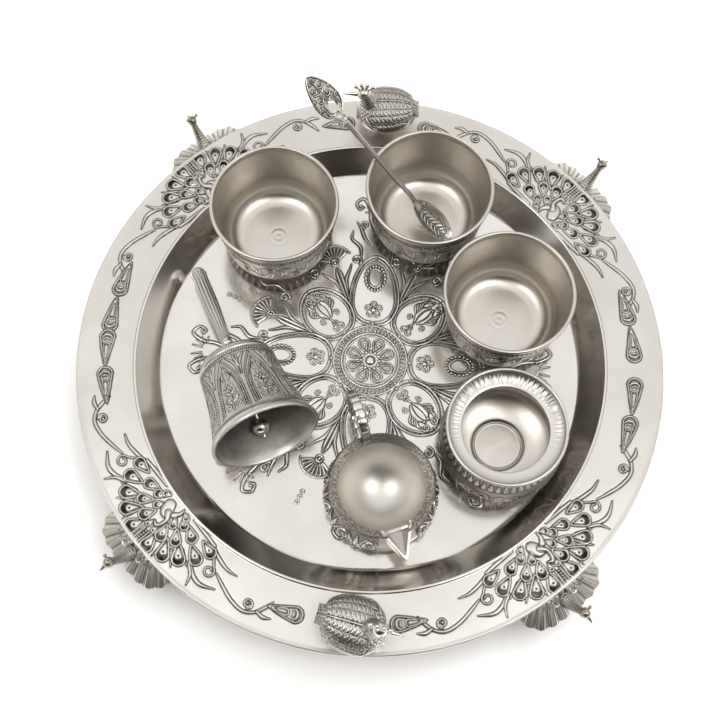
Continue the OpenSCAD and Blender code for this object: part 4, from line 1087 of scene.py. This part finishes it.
def spoon_bowl_skin():
    c = Canvas(0, SPOON.bowl, -9, 9, 0.16)
    c.curve([(4, 0, 0.2), (14, 0, 0.45), (26, 0, 0.5)], 8, height=0.35, dark=0.9)
    for k in range(6):
        for s in SIDES:
            vein = [(24 - 3.1 * k, 0.2 * s, 0.35), (22 - 3.1 * k, 2.4 * s, 0.75),
                    (18.6 - 2.9 * k, 3.9 * s, 0.2)]
            c.curve(vein, 6, height=0.4, groove=0.4, dark=0.95)
    for s in SIDES:
        edge = [(29, 0.8 * s, 0.3), (22, 5.6 * s, 0.35), (12, 5.6 * s, 0.35), (3.5, 1.4 * s, 0.25)]
        c.curve(edge, 8, height=0.35, dark=0.8)
        c.stroke(spiral(26.5, 3.2 * s, 0.3, 1.5, 0, s * 1.2, 0.3, 0.4), height=0.4, dark=0.9)
    return c


def spoon_bowl(where):
    """A pointed, hollow leaf with an embossed leaf on its floor."""
    p = SPOON
    s = np.linspace(0.012, 1, 120)[:, None]
    half = p.width / 2 * np.sin(np.pi * np.clip(s, 0, 0.999) ** 0.86) ** 0.62 + p.rod / 3 * s * s
    dip = p.depth * np.sin(np.pi * np.clip(s, 0, 0.999) ** 0.9) ** 0.8
    t, low = two_faces(1, -1, 44)
    h, tarn = spoon_bowl_skin().sample(p.bowl * s + 0 * t, half * t)
    z = -dip * (1 - t * t) + np.where(low > 0, -0.95, h * 0.8)
    g = np.stack([p.bowl * s + 0 * t, half * t * (1 - 0.02 * low), z], -1)
    o = grid_mesh("spoon_bowl_leaf", g, tarn * (low == 0), POLISHED, outward=False, pole0=(0, 0, -0.4),
                  pole1=(p.bowl, 0, -0.5))
    o.matrix_world = where @ frame_at(0, 0, 0, 0, -p.bowl_pitch)
    place(o, "spoon", "silver_satin", "spoon_bowl")


def spoon_stem(where, points):
    """The stem curves out of the bowl, is grooved along its top and ribbed under the eyelet."""
    p = SPOON
    line = [(x, 0, z) for x, z, _ in spline([(*q, 1) for q in points], 26)]
    total = p.stem + 5.0

    def width(s):
        ribs = sum(math.exp(-((total - 3.5 - q * 2.0 - s) / 0.55) ** 2) for q in range(4))
        return p.rod * (1 + 0.9 * max(0, 1 - s / 9) + 0.28 * ribs)

    def thick(s):
        return p.rod * (0.75 + 0.1 * min(1, s / 20))

    def groove(s, a):
        g = np.exp(-((np.mod(a - math.pi / 2 + math.pi, 2 * math.pi) - math.pi) / 0.42) ** 2)
        return -0.28 * g * (s > 9) * (s < total - 9), 0.55 * g * (s > 9)

    o = sweep("spoon_stem_curved", line, width, thick, (0, 1, 0), SATIN, where, groove, n=28)
    place(o, "spoon", "silver_satin", "spoon_stem")


def leaf_half_width(u):
    """Half width of the finial's leaf at the share u of its length."""
    return SPOON.leaf_w / 2 * np.sqrt(np.clip(1 - (2 * u - 1) ** 2, 0, 1)) * (1.35 - 0.6 * u) / 1.12


# Curls of the finial's leaf: x, y, radius, first angle and number of turns
FINIAL_CURLS = ((14.2, 3.4, 2.2, 3.2, 1.35), (9.6, 7.0, 1.6, 0.5, 1.2), (20.6, 3.0, 1.9, 2.4, 1.3),
                (16.2, 7.0, 1.2, 1.0, 1.1), (24.6, 1.6, 1.0, 2.0, 1.0))


def finial_skin():
    """Scrollwork inside a raised edge, and a raised line round the heart-shaped window."""
    length = SPOON.leaf
    c = Canvas(0, length, -11, 11, 0.16)
    for s in SIDES:
        edge = [(length * u, s * max(0.1, leaf_half_width(u) - 0.75), 0.5)
                for u in np.linspace(0.03, 0.985, 40)]
        c.stroke(edge, height=0.55, dark=0.95)
        heart = ((2.6, 0.25), (4.6, 3.4), (8.6, 4.3), (11.4, 2.4), (9.6, 0.3))
        c.curve([(x, s * y, 0.4) for x, y in heart], 8, dark=0.95)
        for cx, cy, r1, a0, tn in FINIAL_CURLS:
            c.stroke(spiral(cx, s * cy, 0.3, r1, s * a0, s * tn, 0.3, 0.42), dark=0.95)
            c.stroke([(cx, s * cy, 0.45)], height=0.6, dark=0.9)
        c.curve([(12.5, 0.5 * s, 0.3), (16.5, 0.9 * s, 0.6), (18.5, 4.6 * s, 0.2)], 6, dark=0.95)
        c.curve([(4.5, 5.6 * s, 0.3), (7.0, 5.4 * s, 0.5), (12.4, 5.6 * s, 0.25)], 6, height=0.45, dark=0.95)
    c.stroke([(12.0, 0, 0.35), (26.5, 0, 0.3)], dark=0.95)
    return c


def finial_half(skin, side, where):
    """One half of the leaf, from the window's edge to its own edge."""
    length = SPOON.leaf
    x = np.linspace(0.15, length - 0.1, 130)[:, None]
    out = leaf_half_width(x / length)
    v = np.clip((x - 3.0) / 7.4, 0, 1)
    inner = np.minimum(3.4 * np.sin(math.pi * v ** 0.8) ** 0.75 * (x > 3.0) * (x < 10.4), out * 0.7)
    k, low = two_faces(0, 1, 30)
    y = side * (inner + (out - inner) * k)
    h, tarn = skin.sample(x + 0 * k, y)
    edge = 1 - 0.5 * np.clip((k - 0.93) / 0.07, 0, 1)
    g = np.stack([x + 0 * k, y, np.where(low > 0, -0.8, 0.5 + h * 0.9) * edge], -1)
    o = grid_mesh("leaf_half", g, tarn * (low == 0), ANTIQUE, outward=side < 0, pole0=(0.1, 0, 0),
                  pole1=(length, 0, 0))
    o.matrix_world = where
    return o


def spoon_finial(where):
    """An eyelet, then a leaf of scrollwork with a heart-shaped window."""
    p = SPOON
    b = np.linspace(0, 2 * math.pi, 17)[:, None]
    r = (p.eye + p.hole) / 2 + (p.eye - p.hole) / 2 * np.cos(b)
    a = np.linspace(0, 2 * math.pi, 64, endpoint=False)[None, :]
    g = np.stack([p.eye + r * np.cos(a), r * np.sin(a), 0.95 * np.sin(b) + 0 * a], -1)
    parts = [grid_mesh("eyelet", g, 0 * (r + a), ANTIQUE)]
    parts[0].matrix_world = where
    leaf_frame = where @ frame_at(2 * p.eye - 0.4, 0, 0, 0, p.stem_pitch - p.leaf_pitch)
    skin = finial_skin()
    parts += [finial_half(skin, s, leaf_frame) for s in SIDES]
    # Scrolls at the root of the leaf
    for s in SIDES:
        curl = [(x, y * s, 0.2) for x, y, _ in spiral(1.6, 2.2, 0.5, 1.7, 2.6, -1.2, 0, 0)]
        parts.append(sweep("curl", curl, lambda q: 1.3, lambda q: 1.6, (0, 0, 1), ANTIQUE, leaf_frame, n=12))
    place(merge("spoon_finial_leaf", parts), "spoon", "silver_antique", "spoon_finial")


def spoon():
    """The spoon leans from the back bowl's floor against its lip."""
    p = SPOON
    bowl_x, bowl_z = math.cos(math.radians(p.bowl_pitch)), math.sin(math.radians(p.bowl_pitch))
    stem_x, stem_z = math.cos(math.radians(p.stem_pitch)), math.sin(math.radians(p.stem_pitch))
    neck_x, neck_z = p.bowl * bowl_x, p.bowl * bowl_z
    lean_z = BOWL.height - BOWL.lip + (BOWL.lip + p.rod / 2 + 0.3) / stem_x
    lean_x = neck_x + (lean_z - p.tip_rise - neck_z) * stem_x / stem_z
    beside = 2
    along = math.sqrt(BOWL.top ** 2 - beside ** 2)
    where = frame_at(*middle("bowl_back"), FLOOR_Z + p.tip_rise, p.turn)
    where = where @ frame_at(along - lean_x, beside, 0)

    def at(s, off=0.0):
        return neck_x + stem_x * s - stem_z * off, neck_z + stem_z * s + stem_x * off

    spoon_bowl(where)
    root = (neck_x - bowl_x * 5.0, neck_z - bowl_z * 5.0 - 1.0)
    spoon_stem(where, [root, at(0, -0.3), at(6, 0.9), at(14, 0.5), at(24), at(p.stem)])
    end_x, end_z = at(p.stem)
    spoon_finial(where @ frame_at(end_x, 0, end_z, 0, -p.stem_pitch))


# Birds: feet under the rim and figurines on it


def toward(where, p, q):
    """Place whose +Z runs from p to q."""
    way = Vector(q) - Vector(p)
    return where @ Matrix.Translation(Vector(p) * MM) @ way.to_track_quat("Z", "Y").to_matrix().to_4x4()


def rod(p, q, r0, r1, material, where, n=20):
    length = (Vector(q) - Vector(p)).length
    rows = plain(*((r0 + (r1 - r0) * k / 8, length * k / 8) for k in range(9)))
    rows += arc_rows(0, length, r1, 20, 85, 5)
    return lathe("rod", rows, material, n, toward(where, p, q))


def bead(p, r, material, where, n=20):
    spot = where @ Matrix.Translation(Vector(p) * MM)
    return lathe("bead", arc_rows(0, 0, r, -87, 87, 14), material, n, spot)


def bent(points, radii, n=14):
    """A smooth path (x, 0, z) through points, and its width as a function of the length run."""
    line = spline([(x, z, r) for (x, z), r in zip(points, radii)], n)
    run = np.concatenate([[0], np.cumsum(np.hypot(np.diff(line[:, 0]), np.diff(line[:, 1])))])
    return [(q[0], 0, q[1]) for q in line], lambda s: 2 * float(np.interp(s, run, line[:, 2]))


FOOT = Sizes(root=156.95, wing_z=36.5, depth=27.5, half_span=28.0, near=2.5, drop=9.0, scallop=1.3, rib=0.7,
             sheet=1.6, power=3.4, breast_z=28.0, breast=7.6, leg=4.6, ankle=4.4, body=7.0, sole=10.0)
FOOT_TURN = {"foot_back_left": 130.0, "foot_back_right": 44.0, "foot_front_left": 224.5,
             "foot_front_right": 311.0}
FOOT_HEAD = (187.55, 0, 45.5)


def bell_curve(x, width):
    return np.exp(-(x / width) ** 2)


def wing(side, where):
    """Spread wing: an outer row of 6 long feathers and an inner row of 9 short ones, with rounded ends."""
    f = FOOT
    u = np.linspace(0, 1, 190)[None, :]
    v = np.linspace(0, 1, 90)[:, None]
    turn = np.radians(90 * u)
    rib = np.abs(np.sin(math.pi * 6 * u))
    reach = ((np.cos(turn) / f.depth) ** f.power
             + (np.sin(turn) / (f.half_span - f.near)) ** f.power) ** (-1 / f.power)
    reach = reach - f.scallop * (1 - rib)
    r = f.near + (reach - f.near) * v
    base = -f.drop * v ** 2
    # Place across a feather, from -1 to 1, in the outer and the inner row
    w1 = 2 * np.mod(6 * u, 1) - 1 + 0 * v
    w2 = 2 * np.mod(9 * u, 1) - 1 + 0 * v
    barbs = 0.16 * np.cos(2 * math.pi * w1 * 2.5) * (v > 0.5)
    outer = -0.3 * f.rib * v * w1 ** 2 + barbs - 0.28 * bell_curve(w1, 0.09)
    end = 0.60 - 0.12 * w2 ** 2
    covert = v < end
    inner = 0.45 - 0.4 * w2 ** 2 * v + 0.3 * bell_curve(v - end + 0.05, 0.04) - 0.25 * bell_curve(w2, 0.10)
    relief = np.where(covert, inner, outer)
    dark = np.where(covert, np.clip(np.abs(w2) * 3.2 - 2.1, 0, 1), np.clip(np.abs(w1) * 3.4 - 2.3, 0, 1))
    dark = np.maximum(dark, 0.7 * np.where(covert, bell_curve(w2, 0.1), bell_curve(w1, 0.09)))
    dark = np.maximum(dark, bell_curve(v - end - 0.03, 0.035) * (v > end))
    x = f.root + r * np.cos(turn)
    y = side * (f.near + r * np.sin(turn))
    top = np.stack([x, y, f.wing_z + base + relief], -1)
    low = np.stack([x, y, f.wing_z + base - f.rib * (1 - rib) * v - f.sheet], -1)[::-1, :, :]
    g = np.concatenate([top, low, top[:1]])
    # The underside gets a flat darkening of 0.4 as painted shade under the wing; the lines between feathers
    # are real tarnish
    tarn = np.concatenate([0.55 * dark, 0.4 + 0 * dark, 0.55 * dark[:1]])
    o = grid_mesh("wing", g, tarn, SATIN, outward=side > 0, wrap=False)
    o.matrix_world = where
    return o


def foot_leg(where):
    f, r = FOOT, FOOT.ankle
    leg = plain((f.sole - 0.3, 0), (f.sole, 0.25), (f.sole, 0.8), (f.sole - 0.8, 2.1))
    leg += arc_rows(f.leg + r, 6.6, r, 248, 180, 12)
    leg += [(f.leg, z, "leg") for z in np.linspace(7.4, 20.5, 30)]
    leg += [(f.leg + (f.body - f.leg) * k / 6, 20.5 + 5 * k / 6, "leg") for k in range(1, 7)]
    leg += [(f.body, 27, "leg"), (f.body, 36.7, "leg")]

    def rings(r, z, a, key):
        return (0.25 * np.cos(2 * math.pi * z / 3.2) + 0.12 * np.cos(10 * a)) * (key == "leg") * (r < 5.4)

    return lathe("leg", leg, ANTIQUE, 96, where @ frame_at(f.root, 0, 0), shape=rings)


def foot_breast(where):
    f = FOOT

    def scales(r, z, a, key):
        return 0.22 * np.cos(14 * a + math.pi * np.floor(z / 1.7)) * np.sin(math.pi * np.mod(z / 1.7, 1))

    egg = plain(*((f.breast * math.sqrt(max(0, 1 - (z / (6.5 if z < 0 else 13)) ** 2)), z)
                  for z in np.linspace(-6.4, 12.9, 60)))
    spot = where @ frame_at(f.root + f.breast / 2, 0, f.breast_z, 0, 75)
    return lathe("breast", egg, ANTIQUE, 120, spot, shape=scales)


def foot_neck(where):
    points = [(171.0, FOOT.breast_z - 1.5), (174.5, 29.2), (179.7, 33.0), (183.6, 37.8), (186.2, 42.6),
              FOOT_HEAD[0::2]]
    path, width = bent(points, [5.2, 4.6, 3.6, 2.6, 2.1, 2.4])

    def collar(s, a):
        wave = np.cos(2 * math.pi * s / 1.9) * np.cos(4 * a)
        return 0.2 * wave, 0.3 + 0.5 * np.clip(-wave, 0, 1)

    return sweep("neck", path, width, width, (0, 1, 0), ANTIQUE, where, collar, n=32)


def foot_head(where):
    """Head, beak and a crest of three beads."""
    parts = [bead(FOOT_HEAD, 3.1, DARKEST, where, 32)]
    parts.append(rod(FOOT_HEAD, (193.4, 0, 43.6), 1.9, 0.5, DARKEST, where))
    for lean in (-35, 0, 35):
        way = Matrix.Rotation(math.radians(-10), 3, "Y")
        tip = Vector(FOOT_HEAD) + Matrix.Rotation(math.radians(lean), 3, "X") @ way @ Vector((0, 0, 5.4))
        parts += [rod(FOOT_HEAD, tip, 0.7, 0.5, DARKEST, where, 12), bead(tip, 1.05, DARKEST, where, 16)]
    return parts


def foot(name):
    where = frame_at(0, 0, 0, FOOT_TURN[name])
    parts = [wing(1, where), wing(-1, where), foot_breast(where), foot_leg(where), foot_neck(where)]
    parts += foot_head(where)
    # Round bosses where the wings leave the neck
    boss = plain((2.8, -0.6), (2.5, 0.6), (2.0, 0.95), (1.5, 0.7), (1.1, 0.3), (0.5, 0.5))
    for side in SIDES:
        spot = frame_at(174.5, side * 6.2, FOOT.wing_z - 4.3, 0, 22)
        parts.append(lathe("boss", boss, ANTIQUE, 28, where @ spot))
    place(merge(name + "_cast", parts), "tray", "silver_antique", name)


FIGURINE = Sizes(ring=156.45, front=16.4, back=22.6, body=11.0, wing=9.6, width=30.0, body_z=12.5, pitch=8.0,
                 head=4.3, wing_share=0.84)
FIGURINE_TURN = {"figurine_back": (90.8, 0.0), "figurine_front": (270.8, -13.0)}
FIGURINE_HEAD = (11.8, 0, 29.7)


def feather_skin():
    """Body feathers: x along the bird and y round it from the back's ridge."""
    c = Canvas(-24, 18, -41, 41, 0.2)
    for k in range(6):
        for q in range(-5, 6):
            x, y = 15.0 - 1.7 * k, 3.1 * (q + 0.5 * (k % 2))
            if abs(y) < 15:
                c.stroke(drop(x, y, x - 2.4, y, 1.15), height=0.45, groove=0.3, dark=0.9)
    for s in SIDES:
        # Feathers that sweep back from the ridge of the back to the wings' edge
        for k in range(25):
            for q in range(4):
                y = 0.9 + 4.2 * q
                x = 7.5 - 1.25 * k - 0.10 * y - 0.35 * (k % 2)
                barb = [(x, s * y, 0.18), (x - 0.1, s * (y + 2.0), 0.42), (x - 1.3, s * (y + 4.0), 0.15)]
                c.curve(barb, 5, height=0.34, groove=0.24, dark=0.9)
        # Leading edge of the folded wing and its long flight feathers
        edge = [(9.5, 9, 0.4), (7.0, 16.5, 0.9), (0.5, 21.5, 0.9), (-9, 22, 0.7), (-19, 16, 0.3)]
        c.curve([(x, s * y, w) for x, y, w in edge], 8, height=0.75, groove=0.5, dark=0.95)
        for k in range(9):
            x = 5.2 - 2.1 * k
            flight = [(x, s * 15.5, 0.3), (x - 3.2, s * 18.0, 0.75), (x - 7.5, s * 19.6, 0.2)]
            c.curve(flight, 6, height=0.6, dark=0.95)
        for k in range(11):
            for q in range(3):
                x = 11.0 - 2.7 * k - 1.3 * (q % 2)
                plume = drop(x, s * (24.5 + 3.0 * q), x - 2.6, s * (25.3 + 3.0 * q), 1.05)
                c.stroke(plume, height=0.4, dark=0.9)
    c.stroke([(7, 0, 0.25), (-22, 0, 0.3)], height=0.3, dark=0.8)
    return c


def figurine_body(skin, where):
    f = FIGURINE

    def egg(x, r, back, front):
        return r * np.sqrt(np.clip(1 - (x / np.where(x < 0, back, front)) ** 2, 0, 1))

    k = np.linspace(0.02, math.pi - 0.02, 170)
    x = np.where(k < math.pi / 2, -f.back * np.cos(k), -f.front * np.cos(k))[:, None]
    body = egg(x, f.body, f.back, f.front)
    side = egg(x, f.wing, f.back * f.wing_share, f.front * f.wing_share)
    half = np.maximum(body, f.width / 2 - f.wing + side)
    high = np.maximum(body, side)
    a = np.linspace(-math.pi, math.pi, 260, endpoint=False)[None, :]
    h, tarn = skin.sample(x + 0 * a, 13 * a + 0 * x)
    sa, ca = np.sin(a), np.cos(a)
    power = 2 / 2.25
    y = (half + h) * np.sign(sa) * np.abs(sa) ** power
    z = (high + h) * np.sign(ca) * np.abs(ca) ** power
    g = np.stack([x + 0 * a, -y, z], -1)
    o = grid_mesh("body", g, 0.95 * tarn, ANTIQUE, pole0=(-f.back, 0, 0), pole1=(f.front, 0, 0))
    o.matrix_world = where @ frame_at(0, 0, f.body_z, 0, f.pitch)
    return o


def figurine_neck(where):
    path, width = bent([(4.5, 13.0), (6.6, 18.0), (8.8, 22.5), (10.6, 26.5), FIGURINE_HEAD[0::2]],
                       [8.2, 6.9, 5.1, 3.9, 3.6])

    def ruff(s, q):
        wave = np.cos(2 * math.pi * s / 2.0) * np.cos(5 * q + 3 * np.floor(s / 2.0))
        return 0.22 * wave, 0.2 + 0.6 * np.clip(-wave, 0, 1)

    return sweep("neck", path, width, width, (0, 1, 0), ANTIQUE, where, ruff, n=48)


def figurine_head(where):
    """Head, beak, eyes and a crest of four beads."""
    head = FIGURINE_HEAD
    parts = [bead(head, FIGURINE.head, ANTIQUE, where, 36)]
    parts.append(rod(head, (24.1, 0, 28.6), 2.4, 0.5, ANTIQUE, where))
    parts += [bead((13.6, s * 3.6, 30.6), 0.8, DARKEST, where, 14) for s in SIDES]
    for lean in (-36, -12, 12, 36):
        tip = Vector(head) + Matrix.Rotation(math.radians(lean), 3, "Y") @ Vector((0, 0, 8.8))
        parts += [rod(head, tip, 0.85, 0.7, ANTIQUE, where, 12), bead(tip, 1.45, ANTIQUE, where, 16)]
    return parts


def figurine(name, skin):
    turn, yaw = FIGURINE_TURN[name]
    x, y, _ = polar(FIGURINE.ring, math.radians(turn), 0)
    where = frame_at(x, y, RIM_Z, turn + 90 + yaw)
    seat = plain((8.0, 0), (8.4, 0.4), (8.3, 1.2), (7.6, 1.8), (8.4, 5), (10.5, 11))
    parts = [figurine_body(skin, where), lathe("seat", seat, ANTIQUE, 60, where), figurine_neck(where)]
    parts += figurine_head(where)
    place(merge(name + "_feathered", parts), "tray", "silver_antique", name)


# Everything in its place

tray()
engraving = bowl_skin()
for name in ("bowl_left", "bowl_back", "bowl_right"):
    bowl(name, engraving)
pot_frame = frame_at(*middle("pot_belly"), FLOOR_Z)
pot_belly(pot_frame)
pot_mouth(pot_frame)
bell_body()
bell_grip()
lamp_frame = frame_at(LAMP.x, LAMP.y, FLOOR_Z, LAMP.turn)
lamp_relief(lamp_frame)
lamp_handle(lamp_frame)
spoon()
for name in FOOT_TURN:
    foot(name)
feathers = feather_skin()
for name in FIGURINE_TURN:
    figurine(name, feathers)

# The CAD pieces that stay in view
CAD_METAL = {"bell_clapper": ANTIQUE, "figurine_screw_back": POLISHED, "figurine_screw_front": POLISHED}
for name, obj in NODES.items():
    me = obj.data
    me.materials.clear()
    me.materials.append(CAD_METAL.get(name, SATIN))
    me.polygons.foreach_set("use_smooth", np.ones(len(me.polygons), bool))
    me.set_sharp_from_angle(angle=math.radians(32))
# The lamp's cup has a dull hollow and a stippled band round its mouth
cup = NODES["lamp_cup"].data
cup.materials.append(CUP_INSIDE)
cup.materials.append(STIPPLED)
for face in cup.polygons:
    off = face.center / MM - Vector((LAMP.x, LAMP.y, FLOOR_Z))
    if (off - Vector((0, 0, LAMP.cup_at))).length < LAMP.in_r + 0.1:
        face.material_index = 1
    elif (face.normal.z > 0.2 and off.z > LAMP.height - LAMP.drop - 0.2
          and math.hypot(off.x, off.y) < LAMP.band_r + 0.1):
        face.material_index = 2


# Stage, light and camera


def stage_plane(name, size, z, color, rough):
    bpy.ops.mesh.primitive_plane_add(size=size, location=(0, 0, z))
    o = bpy.context.object
    o.name = name
    m = bpy.data.materials.new(name)
    m.use_nodes = True
    b = m.node_tree.nodes["Principled BSDF"]
    b.inputs["Base Color"].default_value = (*color, 1)
    b.inputs["Roughness"].default_value = rough
    o.data.materials.append(m)


def area(name, loc, aim, size, power, color=(1, 1, 1)):
    d = bpy.data.lights.new(name, "AREA")
    d.energy = power
    d.size = size
    d.color = color
    o = bpy.data.objects.new(name, d)
    bpy.context.scene.collection.objects.link(o)
    o.location = loc
    o.rotation_euler = (Vector(aim) - Vector(loc)).to_track_quat("-Z", "Y").to_euler()
    return o


AIM = (0, 0, 0.03)
stage_plane("floor_sheet", 6.0, -0.0006, (0.93, 0.93, 0.93), 0.6)
area("right_box", (0.50, -0.30, 1.05), AIM, 0.46, 2.2, (1, 0.99, 0.97))
area("left_box", (-0.50, -0.30, 1.05), AIM, 0.46, 2.0, (1, 0.98, 0.95))
# The metal doesn't mirror these two
key = area("key_box", (0.50, 0.62, 1.05), AIM, 0.8, 9, (1, 0.99, 0.97))
key.visible_glossy = False
fill = area("fill_box", (0.3, 0.4, 2.4), (0, 0, 0), 2.6, 36)
fill.visible_glossy = False

# A pale room that grows brighter overhead, with a dark patch in front of the tray for the metal to mirror
world = bpy.data.worlds.new("studio")
bpy.context.scene.world = world
world.use_nodes = True
sky = world.node_tree
way = node(sky, "TexCoord").outputs["Generated"]
height = node(sky, "SeparateXYZ", {"Vector": way}).outputs["Z"]
ahead = node(sky, "VectorMath", {0: way}, {"operation": "DOT_PRODUCT"})
ahead.inputs[1].default_value = (0, -0.93, 0.36)
room = ramp(sky, height, ((0.0, (0.50, 0.465, 0.40)), (0.10, (0.54, 0.505, 0.44)),
                          (0.35, (0.68, 0.65, 0.60)), (0.58, (0.88, 0.86, 0.83)),
                          (0.86, (1.10, 1.09, 1.07))))
patch = ramp(sky, ahead.outputs["Value"], ((0.48, (1, 1, 1)), (0.70, (0.42, 0.395, 0.35)),
                                           (0.84, (0.045, 0.038, 0.028))))
background = sky.nodes["Background"]
sky.links.new(multiply(sky, room, patch, 1.0), background.inputs["Color"])
background.inputs["Strength"].default_value = 1.0

# The camera of the photograph: its place in metres, its turns in degrees and its focal length in pixels
CAMERA_AT, CAMERA_TURN = (0, -0.2080, 0.62264), (19.192, -0.6821, 3.648)
FOCAL, PICTURE_WIDTH, SENSOR_WIDTH = 1060.51, 720, 36
cam = bpy.data.cameras.new("camera")
cam_obj = bpy.data.objects.new("camera", cam)
bpy.context.scene.collection.objects.link(cam_obj)
cam.sensor_width = SENSOR_WIDTH
cam.lens = FOCAL * SENSOR_WIDTH / PICTURE_WIDTH
cam_turn = Euler([math.radians(a) for a in CAMERA_TURN]).to_matrix().to_4x4()
cam_obj.matrix_world = Matrix.Translation(CAMERA_AT) @ cam_turn
bpy.context.scene.camera = cam_obj
bpy.context.scene.view_settings.view_transform = "Standard"
